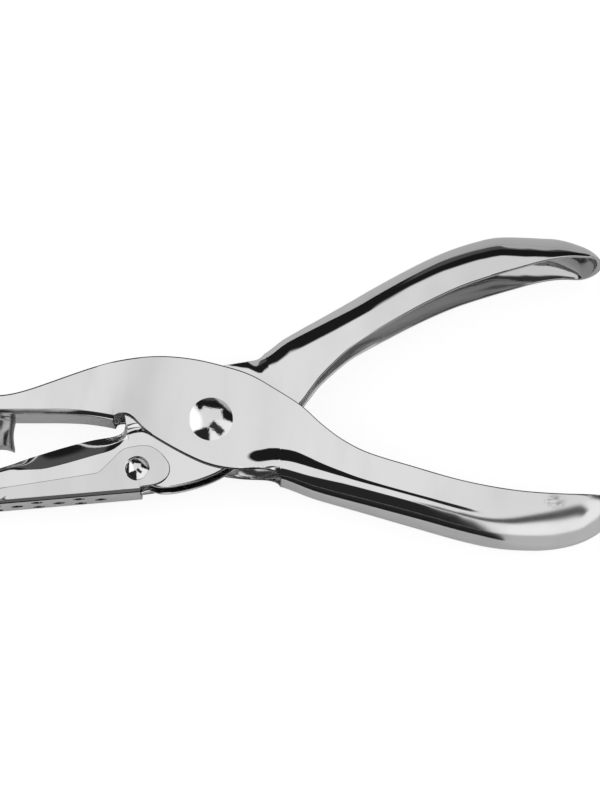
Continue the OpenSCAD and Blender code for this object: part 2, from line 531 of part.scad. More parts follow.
// Punch: a waisted pin with a hollow cutting end, riveted through the upper jaw's floor
edge_land = 0.8;
collar_h = 0.8;
stem_head_d = 5.8;
stem_head_h = 0.8;
waist_steps = 10;
washer_y = jaw_y + sheet_t + seat_gap;
module punch_pin() color("slategray") difference() {
    top = jaw_y - seat_gap;
    waist_low = tip_y + edge_land;
    waist_high = top - collar_h;
    stem_top = washer_y + washer_t + seat_gap;
    translate([-reach, 0, 0]) rotate([-90, 0, 0]) rotate_extrude() polygon(concat(
        [[0, tip_y], [punch_d / 2, tip_y]],
        [for (i = [0:waist_steps]) let (s = i / waist_steps)
            [punch_d / 2 - waist_cut * sin(180 * s), waist_low + (waist_high - waist_low) * s]],
        [[punch_d / 2, top], [stem_d / 2, top], [stem_d / 2, stem_top], [stem_head_d / 2, stem_top],
         [stem_head_d / 2, stem_top + stem_head_h / 2],
         [stem_head_d / 2 - stem_head_h / 2, stem_top + stem_head_h], [0, stem_top + stem_head_h]]));
    hollow_r = (punch_d * punch_d / 4 + edge_hollow * edge_hollow) / (2 * edge_hollow);
    translate([-reach, tip_y + edge_hollow - hollow_r, 0]) through(2 * hollow_r);
}

module punch_washer() color("darkgray")
    translate([-reach, washer_y, 0]) rotate([-90, 0, 0]) difference() {
        cylinder(d = washer_d, h = washer_t);
        translate([0, 0, -past]) cylinder(d = stem_d + 2 * fit_gap, h = washer_t + 2 * past);
    }

// Catcher: a thin perforated tray on the lower jaw, with an ear and a snap dimple on each side
dimple_r = 1.7;
dimple_h = 0.3;
dimple_x = 6.8;
dimple_y = -2.7;
vent_first = -7.9;
vent_row_z = 2.6;
vent_count = 3;
vent_sides = 32;
module chip_catcher() color("silver") on_hinge() rotate(-tray_tilt) {
    difference() {
        channel([for (x = TRAY_X) tray_ring(x, 0)], [for (x = TRAY_HOLLOW_X) tray_ring(x, tray_t)], 1, -1);
        slab(concat([[tray_end + past, tray_depth + past], [TRAY_EAR[0].x, tray_depth + past]],
                    rounded_through(TRAY_EAR, 3),
                    [[tray_floor_end, -tray_depth - past], [tray_end + past, -tray_depth - past]]));
        through(pin_d + 2 * fit_gap);
        for (row = [-1, 0, 1], i = [0:vent_count - 1])
            translate([vent_first - vent_pitch * (i + abs(row) / 2), -tray_depth - past, row * vent_row_z])
                rotate([-90, 0, 0]) cylinder(d = vent_d, h = tray_t + 2 * past, $fn = vent_sides);
    }
    for (side = [0, 1]) mirror([0, 0, side])
        translate([tray_nose + dimple_x, dimple_y, tray_half - tray_t / 2])
            rotate_extrude() polygon(concat(dome(2 * dimple_r, dimple_h + tray_t / 2), [[0, 0]]));
}

module catcher_rivets() color("gainsboro") on_hinge()
    for (side = [0, 1]) mirror([0, 0, side])
        rivet(pin_d, inner_half - sheet_t - seat_gap, tray_half + fit_gap, pin_head_d, pin_head_h,
              pin_tail_d, pin_tail_h);

wire_gap = min([for (i = [0:len(WIRE) - 1], j = [i + 1:len(WIRE) - 1]) if (j - i >= curl_steps - 1)
    norm(WIRE[i] - WIRE[j])]) - wire_d;
echo(spring_least_gap = wire_gap);
echo(pivot = -centre, hinge = turned(hinge, open_angle) - [centre.x, centre.y], die_x = die_x);

place() outer_lever();
place() inner_lever();
place() pivot_rivet();
place() pivot_bush();
place() return_spring();
place() punch_pin();
place() punch_washer();
place() chip_catcher();
place() catcher_rivets();
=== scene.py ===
"""Looks of a chromed single-hole punch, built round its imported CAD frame.

Sizes are in millimetres as the part's source gives them, and become metres when a mesh is made.
"""

import logging
import math
from dataclasses import dataclass
from enum import Enum
from functools import cache

import bmesh
import bpy
import numpy as np
from mathutils import Matrix, Vector


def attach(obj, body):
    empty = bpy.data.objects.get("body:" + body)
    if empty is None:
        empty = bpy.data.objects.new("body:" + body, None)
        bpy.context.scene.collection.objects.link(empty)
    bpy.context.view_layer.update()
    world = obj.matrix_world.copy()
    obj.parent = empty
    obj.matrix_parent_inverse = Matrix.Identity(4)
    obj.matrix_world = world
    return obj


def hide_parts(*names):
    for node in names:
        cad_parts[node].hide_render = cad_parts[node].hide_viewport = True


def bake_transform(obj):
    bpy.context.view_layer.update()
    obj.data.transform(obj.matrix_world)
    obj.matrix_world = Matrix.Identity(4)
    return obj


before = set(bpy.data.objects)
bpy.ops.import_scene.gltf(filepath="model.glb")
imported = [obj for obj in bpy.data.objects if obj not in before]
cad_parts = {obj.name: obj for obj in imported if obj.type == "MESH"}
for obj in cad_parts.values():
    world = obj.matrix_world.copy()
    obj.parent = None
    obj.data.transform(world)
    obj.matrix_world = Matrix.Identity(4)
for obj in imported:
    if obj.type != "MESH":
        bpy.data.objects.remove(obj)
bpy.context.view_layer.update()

log = logging.getLogger("punch")
logging.basicConfig(level=logging.INFO, format="%(name)s: %(message)s")

Knots = tuple[tuple[float, float], ...]
Pair = tuple[float, float]
Triple = tuple[float, float, float]
Face = tuple[int, ...]
Object = bpy.types.Object
Mesh = bpy.types.Mesh
Node = bpy.types.Node
Socket = bpy.types.NodeSocket
Value = Socket | Node | float

MM = 0.001
TO_METRES = Matrix.Scale(MM, 4)
TINY = 1e-6
MERGE = 1e-7
PIVOT = Vector((-16.4916, -6.74873, 9.5))
OPEN_ANGLE = 16.0
REACH = 42.5
HINGE = (-16.8, -5.5)
TOOL_PAST = 0.3
LEVEL: Knots = ((0, 0), (1, 0))
WHITE = (1, 1, 1, 1)


class Body(Enum):
    """The moving bodies of the punch."""

    OUTER = "outer_body"
    INNER = "inner_body"
    CATCHER = "catcher_body"


class Slot(Enum):
    """The record's material slots."""

    SHEET = "plated_sheet"
    THIN_SHEET = "plated_thin_sheet"
    RIVET = "rivet_metal"
    TOOL = "tool_steel"
    PLAIN = "plain_steel"
    WIRE = "spring_wire"


class Opens(Enum):
    """Which way a channel's back lies from its open edge."""

    BACK_ABOVE = 1
    BACK_BELOW = -1


def about_pivot(turn: float = 0.0) -> Matrix:
    """Places a piece that is drawn about the pivot, at an angle in degrees."""
    return Matrix.Translation(PIVOT) @ Matrix.Rotation(math.radians(turn), 4, "Z")


def across_jaw(x: float, turn: float = 0.0) -> Matrix:
    """Places a turned piece that stands square to a jaw at x."""
    return about_pivot(turn) @ Matrix.Translation((x, 0, 0)) @ Matrix.Rotation(-math.pi / 2, 4, "X")


def smoothstep(s: np.ndarray) -> np.ndarray:
    """Eases 0 to 1 with level ends."""
    s = np.clip(s, 0.0, 1.0)
    return s * s * (3 - 2 * s)


def evenly(start: float, end: float, step: float) -> np.ndarray:
    """Places from start towards end, the end left out, by at most a step."""
    return np.linspace(start, end, max(1, math.ceil((end - start) / step)), endpoint=False)


def hermite(
    s: np.ndarray, a: np.ndarray, b: np.ndarray, leave: np.ndarray, arrive: np.ndarray
) -> np.ndarray:
    """Curve from one point to the next.

    Args:
        s: how far along it, from 0 to 1.
        a: the first point.
        b: the second point.
        leave: heading at the first point.
        arrive: heading at the second point.

    Returns:
        The curve's points.
    """
    r = 1 - s
    return r * r * (1 + 2 * s) * a + s * s * (3 - 2 * s) * b + s * r * (r * leave - s * arrive)


def curve_at(knots: Knots, x: np.ndarray) -> np.ndarray:
    """Height of the smooth curve through some knots.

    Args:
        knots: the points, by rising x.
        x: where the height is asked, held to the curve's ends.

    Returns:
        The heights.
    """
    c = np.asarray(knots, float)
    order = np.arange(len(c))
    before, after = np.maximum(order - 1, 0), np.minimum(order + 1, len(c) - 1)
    slope = (c[after, 1] - c[before, 1]) / (c[after, 0] - c[before, 0])
    q = np.clip(x, c[0, 0], c[-1, 0])
    i = np.clip(np.searchsorted(c[:, 0], q, side="right") - 1, 0, len(c) - 2)
    w = c[i + 1, 0] - c[i, 0]
    return hermite((q - c[i, 0]) / w, c[i, 1], c[i + 1, 1], w * slope[i], w * slope[i + 1])


def line_through(points: Knots, steps: int = 12) -> np.ndarray:
    """Rounded line through points that may turn back on themselves.

    Args:
        points: the points in order.
        steps: pieces between two of them.

    Returns:
        The line's points.
    """
    c = np.asarray(points, float)
    ends = np.concatenate([c[:1], c, c[-1:]])
    heading = ((ends[2:] - ends[:-2]) / 2)[:, None]
    s = np.arange(steps)[None, :, None] / steps
    line = hermite(s, c[:-1, None], c[1:, None], heading[:-1], heading[1:])
    return np.concatenate([line.reshape(-1, 2), c[-1:]])


def bend(start: np.ndarray, corner: np.ndarray, end: np.ndarray, steps: int) -> np.ndarray:
    """Round bend at a corner.

    Args:
        start: where the bend starts.
        corner: the corner that it cuts.
        end: where it ends.
        steps: pieces in it.

    Returns:
        The bend's points.
    """
    s = np.linspace(0, 1, steps + 1)[:, None]
    return (1 - s) ** 2 * start + 2 * s * (1 - s) * corner + s * s * end


def rounded_outline(corners: Knots, radius: float = 0.12, most: float = 0.4) -> np.ndarray:
    """Rounds the inner corners of an outline by small arcs.

    Args:
        corners: radius and height of each corner.
        radius: how far a corner is cut back along its sides.
        most: most of a side that is cut back.

    Returns:
        The outline's points.
    """
    c = np.asarray(corners, float)
    out = [c[:1]]
    for a, b, d in zip(c, c[1:], c[2:]):
        before, after = np.linalg.norm(a - b), np.linalg.norm(d - b)
        cut_back = min(radius, before * most, after * most)
        out.append(bend(b + (a - b) / before * cut_back, b, b + (d - b) / after * cut_back, steps=3))
    return np.concatenate([*out, c[-1:]])


def new_object(name: str, data: bpy.types.ID) -> Object:
    """Puts a mesh, a camera or a lamp in the scene at the origin.

    Args:
        name: the object's name.
        data: what it shows.

    Returns:
        The object.
    """
    obj = bpy.data.objects.new(name, data)
    bpy.context.scene.collection.objects.link(obj)
    return obj


def baked(obj: Object) -> Object:
    """Applies an object's modifiers.

    Args:
        obj: the object.

    Returns:
        The same object with a plain mesh.
    """
    bpy.context.view_layer.update()
    graph = bpy.context.evaluated_depsgraph_get()
    mesh = bpy.data.meshes.new_from_object(obj.evaluated_get(graph), depsgraph=graph)
    obj.modifiers.clear()
    obj.data = mesh
    return obj


def face_outwards(mesh: Mesh) -> None:
    """Merges doubles and turns a closed mesh's faces outwards.

    Args:
        mesh: the mesh.
    """
    shape = bmesh.new()
    shape.from_mesh(mesh)
    bmesh.ops.remove_doubles(shape, verts=shape.verts, dist=MERGE)
    bmesh.ops.recalc_face_normals(shape, faces=shape.faces)
    if shape.calc_volume(signed=True) < 0:
        bmesh.ops.reverse_faces(shape, faces=shape.faces)
    shape.to_mesh(mesh)
    shape.free()


def turned(name: str, outline: np.ndarray, place: Matrix, segments: int = 96) -> Object:
    """Turns an outline about Z.

    Args:
        name: the piece's name.
        outline: radius and height of each point, from the axis to the axis.
        place: where the piece stands, in millimetres.
        segments: steps round the axis.

    Returns:
        The piece, with a closed mesh.
    """
    angles = np.arange(segments) * 2 * math.pi / segments
    verts: list[Triple] = []
    rings: list[list[int]] = []
    for radius, height in outline:
        if radius < TINY:
            rings.append([len(verts)] * segments)
            verts.append((0.0, 0.0, height))
            continue
        rings.append(list(range(len(verts), len(verts) + segments)))
        verts.extend((radius * math.cos(a), radius * math.sin(a), height) for a in angles)
    faces: list[Face] = []
    for low, high in zip(rings, rings[1:]):
        for k in range(segments):
            n = (k + 1) % segments
            corners = tuple(dict.fromkeys((low[k], low[n], high[n], high[k])))
            if len(corners) > 2:
                faces.append(corners)
    mesh = bpy.data.meshes.new(name)
    mesh.from_pydata(verts, [], faces)
    face_outwards(mesh)
    mesh.transform(TO_METRES @ place)
    return new_object(name, mesh)


def drill(width: float, low: float, sheet: float, place: Matrix, lead: float = 0.12) -> Object:
    """A tool for a round hole through a sheet, with a small lead at both faces.

    Args:
        width: diameter of the hole.
        low: height of the lower face.
        sheet: thickness of the sheet.
        place: where the tool stands.
        lead: width of the lead.

    Returns:
        The tool's object.
    """
    r, high, wide = width / 2, low + sheet, width / 2 + lead + TOOL_PAST
    below = [(0, low - TOOL_PAST), (wide, low - TOOL_PAST), (r, low + lead)]
    above = [(r, high - lead), (wide, high + TOOL_PAST), (0, high + TOOL_PAST)]
    return turned("hole_tool", np.array(below + above), place)


def cut(obj: Object, tools: list[Object]) -> None:
    """Cuts holes in a piece and removes the tools.

    Args:
        obj: the piece.
        tools: the tools that cut it.
    """
    for tool in tools:
        mod = obj.modifiers.new("hole", "BOOLEAN")
        mod.operation, mod.solver, mod.object = "DIFFERENCE", "EXACT", tool
    baked(obj)
    for tool in tools:
        bpy.data.objects.remove(tool)


class NodeTree:
    """Short words for building a node tree, where a node stands for its first output."""

    def __init__(self, tree: bpy.types.NodeTree) -> None:
        """Keeps the tree and empties it."""
        self.tree = tree
        tree.nodes.clear()

    @classmethod
    def group(cls, name: str, kind: str, inputs: dict[str, str], outputs: dict[str, str]) -> "NodeTree":
        """Begins a node group.

        Args:
            name: the group's name.
            kind: the type of its tree.
            inputs: names and types of its inputs.
            outputs: names and types of its outputs.

        Returns:
            The tree, with its inputs as given and its outputs as out.
        """
        tree = cls(bpy.data.node_groups.new(name, kind))
        for way, sockets in (("INPUT", inputs), ("OUTPUT", outputs)):
            for label, shape in sockets.items():
                tree.tree.interface.new_socket(label, in_out=way, socket_type="NodeSocket" + shape)
        tree.given, tree.out = tree.add("NodeGroupInput").outputs, tree.add("NodeGroupOutput").inputs
        return tree

    @classmethod
    def shaping(cls, name: str, inputs: dict[str, str]) -> "NodeTree":
        """Begins a geometry group that takes a shape, some sizes and a finish."""
        ends = {"Geometry": "Geometry"}
        return cls.group(name, "GeometryNodeTree", {**ends, **inputs, "Finish": "Material"}, ends)

    def shaped(self, shape: Value) -> bpy.types.NodeTree:
        """Ends a geometry group.

        Args:
            shape: what it makes.

        Returns:
            The group.
        """
        solid = self.add("GeometryNodeRealizeInstances", Geometry=shape)
        dressed = self.add("GeometryNodeSetMaterial", Geometry=solid, Material=self.given["Finish"])
        self.feed(self.out["Geometry"], dressed)
        return self.tree

    def feed(self, socket: Socket, value: object) -> None:
        """Links an input to a socket or a node, or sets its value.

        Args:
            socket: the input.
            value: what it gets.
        """
        if isinstance(value, Node):
            value = next(out for out in value.outputs if out.enabled)
        if isinstance(value, Socket):
            self.tree.links.new(value, socket)
        else:
            socket.default_value = value

    def add(self, kind: str, *row: Value, **values: object) -> Node:
        """Adds a node.

        Args:
            kind: the node's type.
            row: what its inputs get, in order.
            values: its properties, and what its inputs get by name, with _ for a blank.

        Returns:
            The node.
        """
        node = self.tree.nodes.new(kind)
        for name, value in values.items():
            if hasattr(node, name):
                setattr(node, name, value)
            else:
                self.feed(node.inputs[name.replace("_", " ")], value)
        for socket, value in zip(node.inputs, row):
            self.feed(socket, value)
        return node

    def place(self) -> Socket:
        """Object coordinates."""
        return self.add("ShaderNodeTexCoord").outputs["Object"]

    def mask(self, name: str) -> Socket:
        """A mask that the mesh carries."""
        return self.add("ShaderNodeAttribute", attribute_name=name).outputs["Fac"]

    def noise(self, place: Value, scale: float, detail: float, rough: float, **more: float) -> Node:
        """Adds a noise texture."""
        more |= {"Vector": place, "Scale": scale, "Detail": detail, "Roughness": rough}
        return self.add("ShaderNodeTexNoise", **more)

    def math(self, operation: str, *values: Value) -> Socket:
        """Adds a math node and gives its result."""
        return self.add("ShaderNodeMath", *values, operation=operation).outputs[0]

    def total(self, start: float, parts: tuple[tuple[Value, float], ...]) -> Value:
        """Adds masks to a value.

        Args:
            start: the value.
            parts: each mask and its weight.

        Returns:
            The sum.
        """
        for mask, weight in parts:
            start = self.math("MULTIPLY_ADD", mask, weight, start)
        return start

    def ramp(self, value: Value, low: float, high: float, a: float = 0.0, b: float = 1.0) -> Socket:
        """Eases a value from one range to another.

        Args:
            value: what is mapped.
            low: start of its range.
            high: end of its range.
            a: result at the start.
            b: result at the end.

        Returns:
            The eased value.
        """
        node = self.add("ShaderNodeMapRange", value, low, high, a, b, interpolation_type="SMOOTHSTEP")
        return node.outputs["Result"]


@cache
def plating_group() -> bpy.types.NodeTree:
    """Plated sheet: slow upright waves, a fine orange peel and faint clouds.

    Returns:
        The group, with a height for bump and a mask of clouded patches.
    """
    sizes, results = ({a: "Float", b: "Float"} for a, b in (("Wave", "Peel"), ("Height", "Clouded")))
    tree = NodeTree.group("plating_skin", "ShaderNodeTree", sizes, results)
    place = tree.place()
    tall = tree.add("ShaderNodeMapping", Vector=place, Scale=(1.0, 0.4, 1.0))
    wave = tree.noise(tall, scale=75.0, detail=1.0, rough=0.4)
    peel = tree.noise(place, scale=2600.0, detail=2.0, rough=0.55)
    cloud = tree.noise(tall, scale=120.0, detail=3.0, rough=0.5, Distortion=0.3)
    fine = tree.math("MULTIPLY", peel, tree.given["Peel"])
    tree.feed(tree.out["Height"], tree.math("MULTIPLY_ADD", wave, tree.given["Wave"], fine))
    tree.feed(tree.out["Clouded"], tree.ramp(cloud, low=0.4, high=0.7))
    return tree.tree


@cache
def scuff_group() -> bpy.types.NodeTree:
    """Sparse hair scratches and pin pricks.

    Returns:
        The group, with a mask of the marks.
    """
    tree = NodeTree.group("hair_scuffs", "ShaderNodeTree", {}, {"Mark": "Float"})
    place = tree.place()
    turn = tree.add("ShaderNodeMapping", Vector=place, Rotation=(0.0, 0.0, 0.6), Scale=(0.08, 1.0, 1.0))
    hair = tree.noise(turn, scale=900.0, detail=3.0, rough=0.7)
    patch = tree.noise(place, scale=110.0, detail=1.0, rough=0.5)
    lines, where = tree.ramp(hair, low=0.7, high=0.76), tree.ramp(patch, low=0.5, high=0.7)
    tree.feed(tree.out["Mark"], tree.math("MULTIPLY", lines, where))
    return tree.tree


@dataclass(frozen=True)
class Finish:
    """A metal finish for one of the record's slots."""

    name: str
    slot: Slot
    shade: float = 0.86

    def paint(self, tree: NodeTree, shader: Node) -> None:
        """Joins the finish's own nodes to the shader."""
        raise NotImplementedError

    @cache
    def material(self) -> bpy.types.Material:
        """Makes the material, once for each finish.

        Returns:
            The material.
        """
        mat = bpy.data.materials.new(self.name)
        mat.use_nodes = True
        tree = NodeTree(mat.node_tree)
        shader = tree.add("ShaderNodeBsdfPrincipled", Metallic=1.0)
        tree.add("ShaderNodeOutputMaterial", Surface=shader)
        self.paint(tree, shader)
        return mat


@dataclass(frozen=True)
class PlatedFinish(Finish):
    """Bright plated sheet. Painted shade at its edges, its folds, its inside and in a soft band, and a real
    scuff, take from its shade; wear and scratches add to its roughness.
    """

    polish: float = 0.045
    clouded: float = 0.07
    cloud_shade: float = 0.06
    wave: float = 1.0
    peel: float = 0.004
    bump: float = 0.0003
    # band darkens the colour in a soft band: painted shade for the wavy plate's darker reflection.
    band: float = 0.17
    # inside darkens the inside faces: painted shade of the hollow; inside_rough makes them duller.
    inside: float = 0.16
    inside_rough: float = 0.06
    worn: float = 0.16
    scuff: float = 0.35
    scratch: float = 0.12
    # edge darkens the cut edges and the catcher's fold: painted shade for their dark reflection lines;
    # edge_rough makes the edges rougher.
    edge: float = 0.85
    edge_rough: float = 0.1

    def paint(self, tree: NodeTree, shader: Node) -> None:
        """Joins the finish's own nodes to the shader.

        Args:
            tree: the material's tree.
            shader: its shader.
        """
        skin = tree.add("ShaderNodeGroup", node_tree=plating_group(), Wave=self.wave, Peel=self.peel)
        hairs = tree.add("ShaderNodeGroup", node_tree=scuff_group())
        names = ("edge_and_fold_shade", "inner_face", "painted_shade_band", "worn_end", "scuffed")
        edge, inner, band, worn, spot = map(tree.mask, names)
        grit = tree.noise(tree.place(), scale=1500.0, detail=3.0, rough=0.7)
        rubbed = tree.math("MULTIPLY", spot, tree.ramp(grit, low=0.36, high=0.6))
        cloud = skin.outputs["Clouded"]
        tone = tree.total(self.shade, ((cloud, -self.cloud_shade * self.shade),))
        # Painted shade: the band, the inside faces, the cut edges and the catcher's fold darken the colour;
        # the rubbed scuff is a real mark.
        lost = ((band, -self.band), (inner, -self.inside), (rubbed, -self.scuff), (edge, -self.edge))
        tree.feed(shader.inputs["Base Color"], tree.math("MULTIPLY", tone, tree.total(1.0, lost)))
        marks = ((cloud, self.clouded - self.polish), (hairs, self.scratch), (edge, self.edge_rough))
        wear = ((inner, self.inside_rough), (worn, self.worn), (rubbed, self.scuff))
        tree.feed(shader.inputs["Roughness"], tree.total(self.polish, marks + wear))
        bump = tree.add("ShaderNodeBump", Height=skin.outputs["Height"], Distance=self.bump, Strength=1.0)
        tree.feed(shader.inputs["Normal"], bump)


@dataclass(frozen=True)
class SteelFinish(Finish):
    """Turned, ground or drawn steel with fine tool lines."""

    rough: float = 0.3
    line_scale: Triple = (900.0, 900.0, 900.0)
    line_depth: float = 0.00001
    cool: float = 1.01
    dark: float = 0.7
    least_rough: float = 0.7
    most_rough: float = 1.4

    def paint(self, tree: NodeTree, shader: Node) -> None:
        """Joins the finish's own nodes to the shader.

        Args:
            tree: the material's tree.
            shader: its shader.
        """
        place = tree.place()
        stretch = tree.add("ShaderNodeMapping", Vector=place, Scale=self.line_scale)
        lines = tree.noise(stretch, scale=1.0, detail=4.0, rough=0.7)
        clouds = tree.ramp(tree.noise(place, scale=260.0, detail=3.0, rough=0.5), low=0.35, high=0.7)
        pale = Vector((1, 1, self.cool)) * self.shade
        ends = {"A": (*pale, 1), "B": (*pale * self.dark, 1)}
        tone = tree.add("ShaderNodeMix", data_type="RGBA", Factor=clouds, **ends)
        tree.feed(shader.inputs["Base Color"], tone)
        least, most = self.rough * self.least_rough, self.rough * self.most_rough
        tree.feed(shader.inputs["Roughness"], tree.ramp(lines, low=0.2, high=0.8, a=least, b=most))
        bump = tree.add("ShaderNodeBump", Height=lines, Distance=self.line_depth, Strength=0.6)
        tree.feed(shader.inputs["Normal"], bump)


LEVER_PLATE = PlatedFinish("lever_plating", Slot.SHEET)
TRAY_PLATE = PlatedFinish("catcher_plating", Slot.THIN_SHEET, shade=0.77, wave=0.7, polish=0.08)
RIVET_PLATE = PlatedFinish("rivet_plating", Slot.RIVET, shade=0.84, wave=0.15, peel=0.05, polish=0.04)
GROUND_STEEL = SteelFinish("ground_punch_steel", Slot.TOOL, 0.5, 0.2, (150.0, 5200.0, 150.0))
TURNED_STEEL = SteelFinish("turned_steel", Slot.PLAIN, 0.58, 0.3, (300.0, 300.0, 5000.0))
DRAWN_WIRE = SteelFinish("drawn_spring_wire", Slot.WIRE, 0.42, 0.28)


def dress(obj: Object, finish: Finish, node: str, body: Body | None, sharp: float = 38.0) -> Object:
    """Gives a piece smooth shading and its finish, hides its CAD node and sets it on its body.

    Args:
        obj: the piece.
        finish: its finish.
        node: the CAD node that it stands for.
        body: the body that it rides on, or None for a piece that rides on none.
        sharp: least angle of an edge that stays sharp, in degrees.

    Returns:
        The piece.
    """
    mesh = obj.data
    mesh.polygons.foreach_set("use_smooth", [True] * len(mesh.polygons))
    mesh.set_sharp_from_angle(angle=math.radians(sharp))
    mesh.update()
    mesh.materials.clear()
    mesh.materials.append(finish.material())
    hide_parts(node)
    if body is not None:
        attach(obj, body.value)
    log.info("%s stands for %s with %d faces", obj.name, node, len(mesh.polygons))
    return obj


def run_tree(obj: Object, tree: bpy.types.NodeTree, values: dict[str, object]) -> Object:
    """Runs a geometry tree on an object and keeps the plain result.

    Args:
        obj: the object.
        tree: the tree.
        values: its inputs by name.

    Returns:
        The object with a plain mesh.
    """
    mod = obj.modifiers.new(tree.name, "NODES")
    mod.node_group = tree
    for item in tree.interface.items_tree:
        if item.in_out == "INPUT" and item.name in values:
            mod[item.identifier] = values[item.name]
    return baked(obj)


@dataclass(frozen=True)
class Marks:
    """Painted shade at a sheet's edges and in a band along it, with its wear and a real scuff, which its
    finish reads.
    """

    edge_shade: float = 1.0
    band: Knots = LEVEL
    band_lean: float = 0.0
    wear: Knots = LEVEL
    scuff_at: Triple = (0.0, 0.0, 99.0)
    scuff_size: Triple = (2.4, 1.7, 1.5)


@dataclass
class Skin:
    """A sheet between two grids of points, closed at one row, with its cut edges rounded."""

    outside: np.ndarray
    inside: np.ndarray
    cells: np.ndarray
    capped: int
    marks: Marks = Marks()
    edge_round: float = 0.3
    edge_of_sheet: float = 0.3
    shaded: np.ndarray | None = None

    def values(self, points: np.ndarray, used: np.ndarray, count: int) -> dict[str, np.ndarray]:
        """What the finish reads at each point.

        Args:
            points: the points that are kept.
            used: their numbers: the outside grid, the inside grid, then the cut edges.
            count: points of one grid.

        Returns:
            A value for each point, by the attribute's name.
        """
        # Painted shade: the cut edges, and the catcher's fold where shaded is given, are marked for
        # darkening.
        dark = np.where(used < 2 * count, 0.0, self.marks.edge_shade)
        if self.shaded is not None:
            dark[used < count] = self.shaded.ravel()[used[used < count]]
        off = (points - self.marks.scuff_at) / self.marks.scuff_size
        return {
            "edge_and_fold_shade": dark,
            "inner_face": ((used >= count) & (used < 2 * count)).astype(float),
            "painted_shade_band": curve_at(self.marks.band, points[:, 0] - self.marks.band_lean * points[:, 1]),
            "worn_end": curve_at(self.marks.wear, points[:, 0]),
            "scuffed": smoothstep(1 - (off * off).sum(1)),
        }

    def faces(self) -> list[Face]:
        """Quads of the grid that are kept, and the cap of its closed end.

        Returns:
            Faces by the grid's point numbers.
        """
        rows, columns = self.outside.shape[:2]
        ids = np.arange(rows * columns).reshape(rows, columns)
        i, j = np.nonzero(self.cells)
        quads = np.stack([ids[i, j], ids[i + 1, j], ids[i + 1, j + 1], ids[i, j + 1]], 1)
        ring = ids[self.capped][:: -1 if self.capped else 1]
        return [*map(tuple, quads.tolist()), tuple(ring.tolist())]

    def inward(self, points: np.ndarray, faces: list[Face], rim: dict[int, list[int]]) -> np.ndarray:
        """Directions from a cut edge into the sheet.

        Args:
            points: the grid's points.
            faces: the faces on them.
            rim: the two neighbours of each point on a cut edge.

        Returns:
            A unit direction for each point, zero away from the edges.
        """
        pull = np.zeros_like(points)
        for face in faces:
            centre = points[list(face)].mean(0)
            for k in face:
                if k in rim:
                    pull[k] += centre - points[k]
        for k, (before, after) in rim.items():
            along = points[after] - points[before]
            along = along / max(np.linalg.norm(along), TINY)
            pull[k] -= along * (pull[k] @ along)
            pull[k] /= max(np.linalg.norm(pull[k]), TINY)
        return pull

    def mesh(self, name: str) -> Mesh:
        """Closes the sheet.

        Args:
            name: the mesh's name.

        Returns:
            A closed mesh in millimetres, with its painted edge and fold shade, its inside, its painted shade
            band, its wear and its scuff as attributes.
        """
        faces = self.faces()
        out, ins = self.outside.reshape(-1, 3).copy(), self.inside.reshape(-1, 3).copy()
        count = len(out)
        seen = {(f[k - 1], f[k]) for f in faces for k in range(len(f))}
        rim_edges = sorted(e for e in seen if e[::-1] not in seen)
        rim: dict[int, list[int]] = {}
        for a, b in rim_edges:
            rim.setdefault(a, [a, a])[1] = b
            rim.setdefault(b, [b, b])[0] = a
        pull_out, pull_in = self.inward(out, faces, rim), self.inward(ins, faces, rim)
        extra: list[np.ndarray] = []
        chain: dict[int, list[int]] = {}
        for k in sorted(rim):
            a, b = out[k].copy(), ins[k].copy()
            width = np.linalg.norm(b - a)
            across = (b - a) / width
            r = min(self.edge_round, self.edge_of_sheet * width)
            mid = r * (1 - math.sqrt(0.5))
            first = 2 * count + len(extra)
            chain[k] = [k, *range(first, first + 4), count + k]
            extra += [a + mid * (pull_out[k] + across), a + r * across]
            extra += [b - r * across, b + mid * (pull_in[k] - across)]
            out[k], ins[k] = a + r * pull_out[k], b + r * pull_in[k]
        everything = faces + [tuple(count + k for k in reversed(f)) for f in faces]
        for a, b in rim_edges:
            everything += zip(chain[b], chain[a], chain[a][1:], chain[b][1:])
        used = sorted({k for f in everything for k in f})
        number = {k: n for n, k in enumerate(used)}
        points = np.concatenate([out, ins, extra])[used]
        made = bpy.data.meshes.new(name)
        made.from_pydata(points.tolist(), [], [tuple(number[k] for k in f) for f in everything])
        for label, numbers in self.values(points, np.array(used), count).items():
            made.attributes.new(label, "FLOAT", "POINT").data.foreach_set("value", numbers)
        face_outwards(made)
        return made


